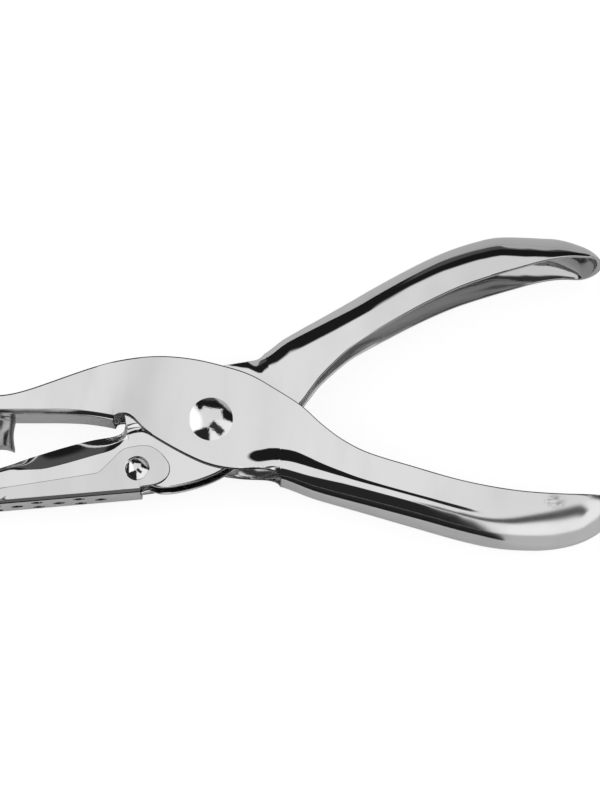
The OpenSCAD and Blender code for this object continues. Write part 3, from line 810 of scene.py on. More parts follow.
@dataclass
class Channel:
    """A folded sheet drawn by its sections along X: a lip, a swell, a fold and a back."""

    sheet: float = 1.0
    side: Opens = Opens.BACK_BELOW
    fold_of_width: float = 0.9
    fold_of_depth: float = 0.66
    land_of_rest: float = 0.35
    ramp_of_rest: float = 0.7
    least_fold: float = 0.25
    bevel_lean: float = 0.38
    line_steps: int = 25
    wall_rows: int = 44
    back_rows: int = 7
    turn_weight: float = 1.6

    def wall(
        self, depth: float, lip: float, crest: float, fold: float,
        most: float, ramp: float, land: float, flat: float,
    ) -> np.ndarray:
        """Fine line of a section, from the lip to the end of the fold.

        Args:
            depth: height of the section.
            lip: half width at the lip.
            crest: half width at the swell.
            fold: outside radius of the fold.
            most: most of the depth that the fold takes.
            ramp: height of the ramp between the lip and the crest.
            land: height of the level strip between the ramp and the fold.
            flat: how far the fold is flattened to a bevel.

        Returns:
            Depth and half width of each point.
        """
        wide = min(fold, self.fold_of_width * crest) * (1 - self.bevel_lean * flat)
        tall = min(fold, most * depth)
        rest = depth - tall
        top = tall + min(land, self.land_of_rest * rest)
        foot = min(top + ramp, tall + self.ramp_of_rest * rest)
        s = np.linspace(0, 1, self.line_steps)
        a = s * math.pi / 2
        rise = np.sin(a) + flat * (s - np.sin(a))
        turn_in = np.cos(a) + flat * (1 - s - np.cos(a))
        parts = (
            ((depth - foot) * s, np.full_like(s, lip)),
            (depth - foot + (foot - top) * s, lip + (crest - lip) * smoothstep(s)),
            (depth - top + (top - tall) * s, np.full_like(s, crest)),
            (depth - tall + tall * rise, crest - wide + wide * turn_in),
        )
        line = np.concatenate([np.stack(part, 1)[k > 0 :] for k, part in enumerate(parts)])
        far_enough = np.linalg.norm(np.diff(line, axis=0), axis=1) > TINY
        return line[np.concatenate([[True], far_enough])]

    def spread(self, line: np.ndarray) -> np.ndarray:
        """Spaces a line's points by its length and its turning.

        Args:
            line: the fine line.

        Returns:
            The line at wall_rows steps.
        """
        step = np.diff(line, axis=0)
        heading = np.unwrap(np.arctan2(step[:, 1], step[:, 0]))
        turning = np.abs(np.diff(heading, prepend=heading[0]))
        run = np.concatenate([[0], np.cumsum(np.linalg.norm(step, axis=1) + self.turn_weight * turning)])
        want = np.linspace(0, run[-1], self.wall_rows + 1)
        return np.stack([np.interp(want, run, line[:, 0]), np.interp(want, run, line[:, 1])], 1)

    def ring(self, x: float, rim: float, line: np.ndarray, limit: float | None) -> np.ndarray:
        """Points round one section, from the near lip to the far lip.

        Args:
            x: place of the section.
            rim: height of the lip.
            line: the fine line of half a section.
            limit: depth at which the wall is cut off, or None where the back is whole.

        Returns:
            The ring's points.
        """
        if limit is not None and limit < line[-1, 0]:
            edge = np.interp(limit, line[:, 0], line[:, 1])
            line = np.concatenate([line[line[:, 0] < limit - TINY], [[limit, edge]]])
        wall = self.spread(line)
        s = np.linspace(0, 1, self.back_rows + 1)[1:]
        back = np.stack([np.full_like(s, wall[-1, 0]), wall[-1, 1] * (1 - s)], 1)
        half = np.concatenate([wall, back])
        full = np.concatenate([half, half[-2::-1] * [1, -1]])
        return np.stack([np.full(len(full), x), rim + self.side.value * full[:, 0], full[:, 1]], 1)

    def cells(self, whole: np.ndarray) -> np.ndarray:
        """Which quads of the grid are kept.

        Args:
            whole: for each station, whether its back is there.

        Returns:
            A mask of stations by columns.
        """
        columns = 2 * (self.wall_rows + self.back_rows)
        kept = np.ones((len(whole) - 1, columns), bool)
        kept[~(whole[:-1] & whole[1:]), self.wall_rows : columns - self.wall_rows] = False
        return kept


@dataclass
class Lever(Channel):
    """A stamped lever: a jaw, two cheeks and a handle with a rounded end.

    Its curves along X are the rim, the back, the neck that cuts the back away at the cheeks, the half
    widths of the lip and the crest, the folds before and behind the pivot, the ramp and the land under
    the crest, how far the fold is a bevel, and how far the walls lean in.
    """

    node: str = ""
    piece: str = ""
    body: Body = Body.OUTER
    turn: float = 0.0
    rim: Knots = LEVEL
    back: Knots = LEVEL
    neck: Knots = LEVEL
    lip: Knots = LEVEL
    crest: Knots = LEVEL
    jaw_fold: Knots = LEVEL
    grip_fold: Knots = LEVEL
    ramp: Knots = LEVEL
    land: Knots = LEVEL
    flat: Knots = LEVEL
    lean: Knots = LEVEL
    marks: Marks = Marks()
    cheek_holes: tuple[Triple, ...] = ()
    floor_hole: Triple = (0.0, 0.0, 1.0)
    nose: float = -49.0
    nose_round: float = 1.8
    tip: float = 81.98
    end_round: float = 9.0
    end_depth: float = 17.0
    jaw_half: float = 5.7
    most_lip: float = 9.49
    fine_from: float = 8.0
    end_fold: float = 7.0
    end_fold_from: float = 30.0
    end_fold_to: float = 10.0
    end_of_depth: float = 0.92

    def near_end(self, x: float, tip: float) -> float:
        """How far the folds have grown towards the handle's end."""
        return smoothstep((x - tip + self.end_fold_from) / (self.end_fold_from - self.end_fold_to))

    def fold_at(self, x: float, tip: float) -> float:
        """Outside radius of the fold at x."""
        fold = curve_at(self.jaw_fold if x < 0 else self.grip_fold, x)
        return fold + (self.end_fold - fold) * self.near_end(x, tip)

    def nose_drop(self, x: float) -> float:
        """How much the rim is rounded off at the nose."""
        s = min((x - self.nose) / self.nose_round, 1.0)
        return self.nose_round * (1 - math.sqrt(max(0.0, 1 - (1 - s) ** 2)))

    def neck_end(self) -> float:
        """Where the neck's edge runs out through the handle's back.

        Returns:
            Its place along X.
        """
        # Only the neck's last four knots lie near the back.
        x = np.linspace(self.neck[-4][0], self.neck[-1][0], num=400)
        over = self.side.value * (curve_at(self.neck, x) - curve_at(self.back, x)) >= 0
        return float(x[np.argmax(over)])

    def station(self, x: float, t: float, plan: float, limit: bool) -> np.ndarray:
        """One ring of the lever.

        Args:
            x: place of the section.
            t: how deep in the sheet the ring lies.
            plan: how much of its width a rounded end still has.
            limit: whether the neck cuts the section off.

        Returns:
            The ring's points.
        """
        tip, side = self.tip - t, self.side.value
        rim = curve_at(self.rim, x) + side * self.nose_drop(x)
        reach = max(0.0, (x - tip + self.end_depth - t) / (self.end_depth - t))
        line = self.wall(
            (side * (curve_at(self.back, x) - rim) - t) * math.sqrt(max(0.0, 1 - reach * reach)),
            (min(curve_at(self.lip, x), self.most_lip) - t) * plan,
            (curve_at(self.crest, x) - t) * plan,
            max(self.fold_at(x, tip) - t, self.least_fold),
            self.fold_of_depth + (self.end_of_depth - self.fold_of_depth) * self.near_end(x, tip),
            curve_at(self.ramp, x),
            curve_at(self.land, x),
            curve_at(self.flat, x),
        )
        line[:, 1] = np.maximum(line[:, 1] - curve_at(self.lean, x) * line[:, 0], 0)
        return self.ring(x, rim, line, side * (curve_at(self.neck, x) - rim) if limit else None)

    def press(self, grid: np.ndarray) -> None:
        """Presses shallow forms into a grid of points, where a lever has any."""

    def build(self) -> Object:
        """Makes the lever's mesh in its own frame, in millimetres.

        Returns:
            The lever's object.
        """
        start, stop = self.neck[0][0], self.neck_end()
        # Start, end and longest step of each run of stations, finest where reflections turn fastest.
        runs = (
            (self.nose + self.nose_round, start - 2, 0.9),
            (start - 2, start, 0.35),
            (start + 3.2, self.fine_from, 0.8),
            (self.fine_from, stop, 0.22),
            (stop, stop + 6, 0.22),
            (stop + 6, stop + 12, 0.35),
            (stop + 12, self.tip - self.end_round, 0.75),
        )
        # The nose and the handle's end are round, by angles in degrees. The neck opens in fine steps.
        nose = self.nose + self.nose_round * (1 - np.cos(np.radians(np.linspace(8, 90, 9, endpoint=False))))
        mouth = start + np.concatenate([[0], np.linspace(0.04, 3, 18)])
        places = np.sort(np.concatenate([nose, mouth, *(evenly(*run) for run in runs)]))
        turns = np.radians(np.concatenate([np.linspace(0, 60, 15), np.linspace(63, 87.5, 11)]))
        whole = (places <= start + TINY) | (places >= stop - TINY)
        grids = []
        for t in (0.0, self.sheet):
            rings = [self.station(x, t, 1.0, not w) for x, w in zip(places, whole)]
            for angle in turns:
                x = self.tip - self.end_round + (self.end_round - t) * math.sin(angle)
                rings.append(self.station(x, t, math.cos(angle), False))
            grids.append(np.array(rings))
            self.press(grids[-1])
        whole = np.concatenate([whole, np.ones(len(turns), bool)])
        skin = Skin(*grids, self.cells(whole), len(whole) - 1, self.marks)
        return new_object(self.piece, skin.mesh(self.piece))

    def make(self) -> Object:
        """Builds, cuts and dresses the lever.

        Returns:
            The finished piece.
        """
        obj, place = self.build(), about_pivot(self.turn)
        obj.data.transform(TO_METRES @ place)
        tools = []
        for low in (self.jaw_half - self.sheet, -self.jaw_half):
            for x, y, width in self.cheek_holes:
                tools.append(drill(width, low, self.sheet, place @ Matrix.Translation((x, y, 0))))
        x, low, width = self.floor_hole
        cut(obj, [*tools, drill(width, low, self.sheet, across_jaw(x, self.turn))])
        return dress(obj, LEVER_PLATE, self.node, self.body)


@dataclass
class OuterLever(Lever):
    """The lever that is the upper jaw and the lower handle."""

    node: str = "outer_lever"
    piece: str = "outer_lever_plate"
    rim: Knots = (
        (-49, 4.3), (-43.5, 4.7), (-40, 5.1), (-36, 6.2), (-24, 10.5), (-18, 12.1), (-11, 12.9),
        (-4, 12.4), (3, 10.8), (8, 9.1), (13, 6.2), (18, 2.8), (22, -1), (26, -4.2), (31, -6.95),
        (40, -9.9), (50, -12.8), (60, -14.7), (70, -15.45), (82, -15.55),
    )
    back: Knots = (
        (-49, 1), (-36, 1), (-30, 1), (-25, 0.75), (-19.6, -0.15), (-18, -0.8), (-15, -4.5), (-9, -9),
        (3, -12.5), (9, -12.2), (13, -11.7), (21, -14.5), (31, -17.3), (41, -20.1), (50.5, -22.75),
        (58, -24.4), (65, -25.04), (82, -25.36),
    )
    neck: Knots = (
        (-19.6, 0.2), (-19.2, 0.75), (-18.2, 1), (-16.8, 0.9), (-15.6, 0.2), (-14.2, -1.3),
        (-12.6, -2.7), (-9.1, -4.9), (-5.1, -7.1), (-1.1, -8.9), (2.3, -9.8), (6, -10.2),
        (10.5, -10.3), (12.3, -10.6), (13.5, -11.3), (14.4, -12.8),
    )
    lip: Knots = (
        (12, 5.7), (17, 6.168), (23, 7.212), (31, 8.22), (42, 9.012), (50, 9.174), (58, 9.48), (72, 9.498),
    )
    crest: Knots = (
        (1.5, 5.7), (4.5, 6.023), (7, 6.612), (9.5, 6.992), (14, 7.163), (17, 7.391), (20, 7.657),
        (30, 8.512), (42, 9.31), (49, 9.5),
    )
    jaw_fold: Knots = ((-22, 1.2), (2, 1.97), (12, 2.19), (16, 2.52), (21, 3.092), (26, 3.4))
    grip_fold: Knots = jaw_fold
    ramp: Knots = ((4, 4.2), (8, 4.8), (13, 4.0), (18, 3.6), (23, 2.5), (30, 1.4), (50, 1.2))
    land: Knots = ((8, 0.05), (11, 0.1), (14, 0.35), (17, 0.6), (26, 0.2), (40, 0.1))
    # Its band is painted shade: a darker plate round the cheeks and the pivot, for the wavy plate's
    # reflections. Its wear roughens the handle's end and its scuff is a real mark.
    marks: Marks = Marks(
        band=(
            (-49, 0.1), (-33, 0), (-27.5, 0.1), (-26.5, 0.35), (-25.5, 0.1), (-22, 0.25), (-17, 0.9),
            (-14.5, 1), (-12, 0.6), (-8, 0.3), (0, 0.2), (10, 0.1), (20, 0), (40, 0.05), (60, 0.2),
        ),
        band_lean=0.25,
        wear=((36, 0), (44, 0.3), (52, 0.8), (58, 1), (82, 1)),
        scuff_at=(68.0, -17.1, 9.2),
    )
    cheek_holes: tuple[Triple, ...] = ((0.0, 0.0, 5.1),)
    floor_hole: Triple = (-REACH, 1.0, 4.1)
    fine_from: float = 5.5


@dataclass
class InnerLever(Lever):
    """The lever that is the lower jaw with its die, and the upper handle."""

    node: str = "inner_lever"
    piece: str = "inner_lever_plate"
    side: Opens = Opens.BACK_ABOVE
    body: Body = Body.INNER
    turn: float = OPEN_ANGLE
    rim: Knots = (
        (-49.3, -2.9), (-44, -3.6), (-23, -7.3), (-19.8, -8.5), (-17.5, -9.1), (-15.6, -9.2),
        (-13.6, -10.3), (-10.4, -11), (-5.2, -11.1), (-0.5, -10.4), (6, -7.9), (12, -4.9),
        (18, -1.65), (20.6, 0.3), (23.8, 2.65), (29.5, 5.65), (33, 7), (42, 9.25), (48.6, 10.65),
        (55.2, 11.65), (60.7, 12), (68, 12.15), (74, 12.1), (78.5, 11.5), (82, 10.45), (85.5, 9.5),
    )
    back: Knots = (
        (-49.3, 2.4), (-42, 2.4), (-36, 2.8), (-30, 3), (-24, 2.9), (-20, 2.5), (-18.2, 2.6),
        (-17.2, 3.2), (-16.7, 4.6), (-16.4, 7), (-15.4, 11), (-8, 13.5), (4, 13.5), (10, 12.5),
        (12.9, 10.8), (19, 12.85), (29.4, 15.4), (39.9, 17.95), (50.3, 20.1), (57, 20.95), (63, 21.1),
        (66, 20.93), (69, 20.52), (72, 20.03), (75, 19.68), (78, 19.37), (81.7, 18.1), (85.5, 15.5),
    )
    neck: Knots = (
        (-16.9, 3.2), (-16.6, 4.8), (-16.3, 6.2), (-15.5, 7.3), (-13, 8.5), (-7, 9.8), (0, 10.3),
        (6.5, 10.1), (10.3, 9.8), (12, 9.8), (13.2, 10.2), (14.1, 10.9), (14.9, 12.2),
    )
    lip: Knots = (
        (12, 4.6), (16, 4.6705), (20, 4.929), (24, 5.4225), (28, 6.0711), (37.7, 7.8336), (53, 9.1825),
        (61, 9.4645),
    )
    crest: Knots = (
        (12, 4.6), (16, 4.6735), (20, 4.9283), (24, 5.4232), (28, 6.07), (37.7, 7.834), (53, 9.206),
        (61, 9.5),
    )
    jaw_fold: Knots = ((-46, 1.6), (-40, 1.87), (-34, 3.4), (-23, 3.4), (-17.5, 2.32))
    grip_fold: Knots = ((2, 2.6), (6, 4.322), (10, 6.085), (14, 6.7), (15, 6.7))
    ramp: Knots = ((0, 1.2), (1, 1.2))
    land: Knots = ((0, 0.15), (1, 0.15))
    flat: Knots = ((-41, 0), (-37, 0.95), (-22, 0.95), (-18, 0.2), (-15, 0))
    lean: Knots = ((66, 0), (72, 0.12), (76, 0.25), (85.5, 0.28))
    # Faint painted shade on its edges, and a painted shade band that darkens the upper handle towards its
    # end, for its reflection.
    marks: Marks = Marks(0.2, ((-49, 0.1), (-20, 0.1), (20, 0.1), (45, 0.5), (62, 1), (85, 1)))
    cheek_holes: tuple[Triple, ...] = ((0.0, 0.0, 5.1), (*HINGE, 2.6))
    floor_hole: Triple = (-42.8404, 1.4, 6.4)
    fold_of_depth: float = 0.74
    nose: float = -49.3
    tip: float = 85.5
    end_round: float = 3.4
    end_depth: float = 22.3
    jaw_half: float = 4.6
    wall_rows: int = 64
    crease: Knots = ((-19.4, 1.5), (-17, 2.4), (-14.8, 2.5), (-12, 1.7), (-9, 0.4))
    crease_half: float = 1.1
    crease_h: float = 0.4
    crease_fade: float = 1.6
    crease_sheets: float = 1.4

    def press(self, grid: np.ndarray) -> None:
        """Presses the crease that carries the jaw's fold on into both cheeks.

        Args:
            grid: the points of the outside or of the inside.
        """
        x, z = grid[..., 0], grid[..., 2]
        off = (grid[..., 1] - curve_at(self.crease, x)) / self.crease_half
        along = smoothstep((x - self.crease[0][0]) / self.crease_fade)
        along = along * smoothstep((self.crease[-1][0] - x) / self.crease_fade)
        sink = self.crease_h * along * np.clip(1 - off * off, 0, 1) ** 2
        z -= np.where(np.abs(z) > self.jaw_half - self.crease_sheets * self.sheet, np.sign(z) * sink, 0)


@dataclass
class ChipCatcher(Channel):
    """The thin perforated tray that swings on the lower jaw."""

    node: str = "chip_catcher"
    piece: str = "chip_catcher_tray"
    sheet: float = 0.45
    half: float = 5.15
    depth: float = 4.8
    fold: float = 0.9
    ramp_h: float = 2.4
    land_h: float = 1.0
    edge_round: float = 0.13
    floor_step: float = 0.42
    floor_slit: float = 0.03
    ear_step: float = 0.4
    ear_rows: int = 12
    tilt: float = 10.9
    nose: float = -34.25
    floor_end: float = 0.2
    rim: Knots = (
        (-35, -2.1), (-27.4, -1.6), (-8.6, -0.25), (-7.6, 0), (-5.2, 1.95), (-3.1, 3.75), (-1.9, 4.3),
        (0.8, 4.6),
    )
    ear: Knots = (
        (0.8, 4.6), (2.9, 4.3), (4.6, 3.1), (5.8, 1.6), (6.4, 0.4), (6.5, -0.8), (5.9, -2.1),
        (4.7, -3.1), (3.2, -3.6), (1.2, -3.75), (0.2, -3.8),
    )
    ear_end: float = 6.48
    ear_round: float = 2.4
    pin_hole: float = 2.6
    pin_lead: float = 0.06
    dimple_at: Pair = (-27.45, -2.7)
    dimple_r: float = 1.7
    dimple_h: float = 0.12
    dimple_sheets: float = 1.2
    # Where the painted shade along the fold starts, ends and fades, as shares of the fold.
    shade_from: float = 0.15
    shade_to: float = 0.95
    shade_fade: float = 0.25
    vent_first: float = -7.9
    vent_pitch: float = 8.4
    vent_width: float = 2.4
    vent_row: float = 2.6
    vents: int = 3
    wall_rows: int = 26
    back_rows: int = 10

    def place(self) -> Matrix:
        """Places a piece that is drawn about the catcher's hinge."""
        hinge = about_pivot(OPEN_ANGLE) @ Matrix.Translation((*HINGE, 0))
        return hinge @ Matrix.Rotation(-math.radians(self.tilt), 4, "Z")

    def edges(self, x: float) -> tuple[float, float | None]:
        """Heights of the side wall's edges.

        Args:
            x: place of the section.

        Returns:
            Height of the upper edge, and of the lower edge behind the floor.
        """
        line = line_through(self.ear)
        far = int(np.argmax(line[:, 0]))
        upper, lower = line[: far + 1], line[far:][::-1]
        top = np.interp(x, *upper.T) if x > self.rim[-1][0] else curve_at(self.rim, x)
        return top, np.interp(x, *lower.T) if x > self.floor_end else None

    def press(self, grid: np.ndarray) -> None:
        """Presses the snap dimples out of both side walls.

        Args:
            grid: the points of the outside or of the inside.
        """
        off = ((grid[..., :2] - self.dimple_at) ** 2).sum(-1) / self.dimple_r**2
        z = grid[..., 2]
        wall = np.abs(z) > self.half - self.dimple_sheets * self.sheet
        z += np.where(wall, np.sign(z), 0) * self.dimple_h * smoothstep(1 - off)

    def build(self) -> Object:
        """Makes the tray's mesh about its hinge, in millimetres.

        Returns:
            The tray's object.
        """
        ear_from = self.ear_end - self.ear_round
        places = np.concatenate(
            [
                evenly(self.nose, self.floor_end, self.floor_step),
                [self.floor_end, self.floor_end + self.floor_slit],
                evenly(self.floor_end + self.ear_step, ear_from, self.ear_step),
                ear_from + self.ear_round * np.sin(np.radians(np.linspace(0, 90, self.ear_rows))),
            ]
        )
        grids = []
        for t in (0.0, self.sheet):
            rings = []
            for x in (self.nose + t, *places[1:]):
                (top, low), half = self.edges(x), self.half - t
                fold = max(self.fold - t, self.least_fold)
                sizes = (fold, self.fold_of_depth, self.ramp_h, self.land_h, 0.0)
                line = self.wall(top + self.depth - t, half, half, *sizes)
                rings.append(self.ring(x, top, line, None if low is None else top - low))
            grids.append(np.array(rings))
            self.press(grids[-1])
        # Painted shade: a dark line along the fold between the side walls and the floor, for its dark
        # reflection.
        turn = (grids[0][..., 1] + self.depth) / self.fold
        shaded = smoothstep(turn / self.shade_from) * smoothstep((self.shade_to - turn) / self.shade_fade)
        cells = self.cells(places <= self.floor_end + TINY)
        skin = Skin(*grids, cells, 0, edge_round=self.edge_round, shaded=shaded)
        return new_object(self.piece, skin.mesh(self.piece))

    @staticmethod
    def vent_tree() -> bpy.types.NodeTree:
        """Geometry nodes that punch three staggered rows of vent holes through the floor.

        Returns:
            The tree, with the holes' sizes and the tray's place as inputs.
        """
        sizes = dict.fromkeys(("Pitch", "First", "Row", "Width", "Floor"), "Float")
        tree = NodeTree.shaping("vent_holes", {**sizes, "Count": "Int", "Place": "Vector", "Turn": "Vector"})
        given = tree.given
        radius = tree.math("MULTIPLY", given["Width"], 0.5)
        hole = tree.add("GeometryNodeMeshCylinder", Vertices=40, Depth=2 * MM, Radius=radius)
        step = tree.add("ShaderNodeCombineXYZ", tree.math("MULTIPLY", given["Pitch"], -1.0))
        rows = tree.add("GeometryNodeJoinGeometry")
        for row in (-1, 0, 1):
            back = tree.math("MULTIPLY", given["Pitch"], abs(row) / 2)
            x = tree.math("SUBTRACT", given["First"], back)
            y = tree.math("MULTIPLY", given["Floor"], -1.0)
            start = tree.add("ShaderNodeCombineXYZ", x, y, tree.math("MULTIPLY", given["Row"], row))
            ends = {"Start_Location": start, "Offset": step}
            line = tree.add("GeometryNodeMeshLine", mode="OFFSET", Count=given["Count"], **ends)
            tree.feed(rows.inputs["Geometry"], line)
        upright = (math.pi / 2, 0, 0)
        drills = tree.add("GeometryNodeInstanceOnPoints", Points=rows, Instance=hole, Rotation=upright)
        solid = tree.add("GeometryNodeRealizeInstances", Geometry=drills)
        move = {"Translation": given["Place"], "Rotation": given["Turn"]}
        placed = tree.add("GeometryNodeTransform", Geometry=solid, **move)
        punch = tree.add("GeometryNodeMeshBoolean", operation="DIFFERENCE", solver="EXACT")
        tree.feed(punch.inputs["Mesh 1"], given["Geometry"])
        tree.feed(punch.inputs["Mesh 2"], placed)
        return tree.shaped(punch)

    def make(self) -> Object:
        """Builds, perforates and dresses the tray.

        Returns:
            The finished piece.
        """
        obj, place = self.build(), self.place()
        obj.data.transform(TO_METRES @ place)
        sides = (self.half - self.sheet, -self.half)
        cut(obj, [drill(self.pin_hole, low, self.sheet, place, self.pin_lead) for low in sides])
        values = {
            "Pitch": self.vent_pitch * MM,
            "First": self.vent_first * MM,
            "Row": self.vent_row * MM,
            "Width": self.vent_width * MM,
            "Floor": (self.depth - self.sheet / 2) * MM,
            "Count": self.vents,
            "Place": place.translation * MM,
            "Turn": tuple(place.to_euler()),
            "Finish": TRAY_PLATE.material(),
        }
        run_tree(obj, self.vent_tree(), values)
        return dress(obj, TRAY_PLATE, self.node, Body.CATCHER)


@dataclass
class Rivets:
    """The domed pivot rivet and the two small rivets of the catcher."""

    face: float = 5.72
    pivot_shank: float = 5.0
    pivot_head: Pair = (8.8, 1.3)
    pivot_tail: Pair = (7.6, 0.9)
    pin_shank: float = 2.5
    pin_low: float = 3.58
    pin_high: float = 5.2
    pin_head: Pair = (5.0, 1.4)
    pin_tail: Pair = (3.9, 0.5)
    rim_cut: float = 0.05
    rim_h: float = 0.06
    dome_from: float = 0.1
    dome_steps: int = 28
    sharp: float = 40.0

    def outline(self, shank: float, low: float, high: float, head: Pair, tail: Pair) -> np.ndarray:
        """Outline of a rivet, from its upset end to its domed head.

        Args:
            shank: diameter of the shank.
            low: height of the upset end's face.
            high: height of the head's face.
            head: diameter and height of the head.
            tail: diameter and height of the upset end.

        Returns:
            Radius and height of each point.
        """
        r, h = tail[0] / 2, tail[1]
        upset = ((0, low - h), (r - h / 4, low - h), (r, low - h / 2), (r, low), (shank / 2, low))
        rim = ((shank / 2, high), (head[0] / 2 - self.rim_cut, high), (head[0] / 2, high + self.rim_h))
        ball = (head[0] ** 2 / 4 + head[1] ** 2) / (2 * head[1])
        a = math.asin(head[0] / 2 / ball) * np.linspace(1, 0, self.dome_steps + 1)
        dome = np.stack([ball * np.sin(a), high + ball * np.cos(a) - ball + head[1]], 1)
        return np.concatenate([rounded_outline(upset + rim)[:-1], dome[dome[:, 1] > high + self.dome_from]])

    @staticmethod
    def pair_tree() -> bpy.types.NodeTree:
        """Geometry nodes that set a rivet on both sides of the jaw, heads outwards.

        Returns:
            The tree.
        """
        tree = NodeTree.shaping("rivet_pair", {"Place": "Vector"})
        ends = {"Start_Location": tree.given["Place"], "Offset": (0, 0, 0)}
        points = tree.add("GeometryNodeMeshLine", mode="OFFSET", Count=2, **ends)
        half_turns = tree.math("MULTIPLY", tree.add("GeometryNodeInputIndex"), math.pi)
        both = {"Points": points, "Rotation": tree.add("ShaderNodeCombineXYZ", half_turns)}
        return tree.shaped(tree.add("GeometryNodeInstanceOnPoints", Instance=tree.given["Geometry"], **both))

    def make(self, hinge: Vector) -> None:
        """Builds and dresses the rivets.

        Args:
            hinge: where the catcher's hinge stands, in millimetres.
        """
        big = self.outline(self.pivot_shank, -self.face, self.face, self.pivot_head, self.pivot_tail)
        rivet = turned("pivot_rivet_head", big, about_pivot())
        dress(rivet, RIVET_PLATE, "pivot_rivet", Body.OUTER, self.sharp)
        small = self.outline(self.pin_shank, self.pin_low, self.pin_high, self.pin_head, self.pin_tail)
        pair = turned("catcher_rivet_pair", small, Matrix(), segments=64)
        run_tree(pair, self.pair_tree(), {"Place": hinge * MM, "Finish": RIVET_PLATE.material()})
        dress(pair, RIVET_PLATE, "catcher_rivets", Body.INNER, self.sharp)


@dataclass
class Punch:
    """The waisted punch pin with its hollow cutting end."""

    width: float = 6.0
    tip: float = -5.9
    top: float = 0.98
    waist: float = 0.35
    waist_rows: int = 40
    hollow: float = 1.1
    edge_land: float = 0.8
    collar: float = 0.8
    collar_edge: float = 0.1
    stem: float = 4.0
    stem_top: float = 2.64
    stem_head: Pair = (5.8, 0.8)
    wheel_past: float = 1.0
    sharp: float = 32.0

    def make(self) -> Object:
        """Builds the pin, hollows its end and dresses it.

        Returns:
            The finished piece.
        """
        low, high = self.tip + self.edge_land, self.top - self.collar
        r, stem = self.width / 2, self.stem / 2
        s = np.linspace(0, 1, self.waist_rows)
        waist = np.stack([r - self.waist * np.sin(math.pi * s), low + (high - low) * s], 1)
        head, rise, base = self.stem_head[0] / 2, self.stem_head[1], self.stem_top
        collar = ((r, high + self.collar_edge), (r, self.top), (stem, self.top), (stem, base))
        rivet = ((head, base), (head, base + rise / 2), (head - rise / 2, base + rise), (0, base + rise))
        outline = np.concatenate([[(0, self.tip), (r, self.tip)], waist, rounded_outline(collar + rivet)])
        obj = turned("punch_pin_body", outline, across_jaw(-REACH), segments=128)
        radius = (r * r + self.hollow * self.hollow) / (2 * self.hollow)
        past = r + self.wheel_past
        ground = np.array([(0, -past), (radius, -past), (radius, past), (0, past)])
        wheel = about_pivot() @ Matrix.Translation((-REACH, self.tip + self.hollow - radius, 0))
        cut(obj, [turned("hole_tool", ground, wheel)])
        return dress(obj, GROUND_STEEL, "punch_pin", Body.OUTER, self.sharp)


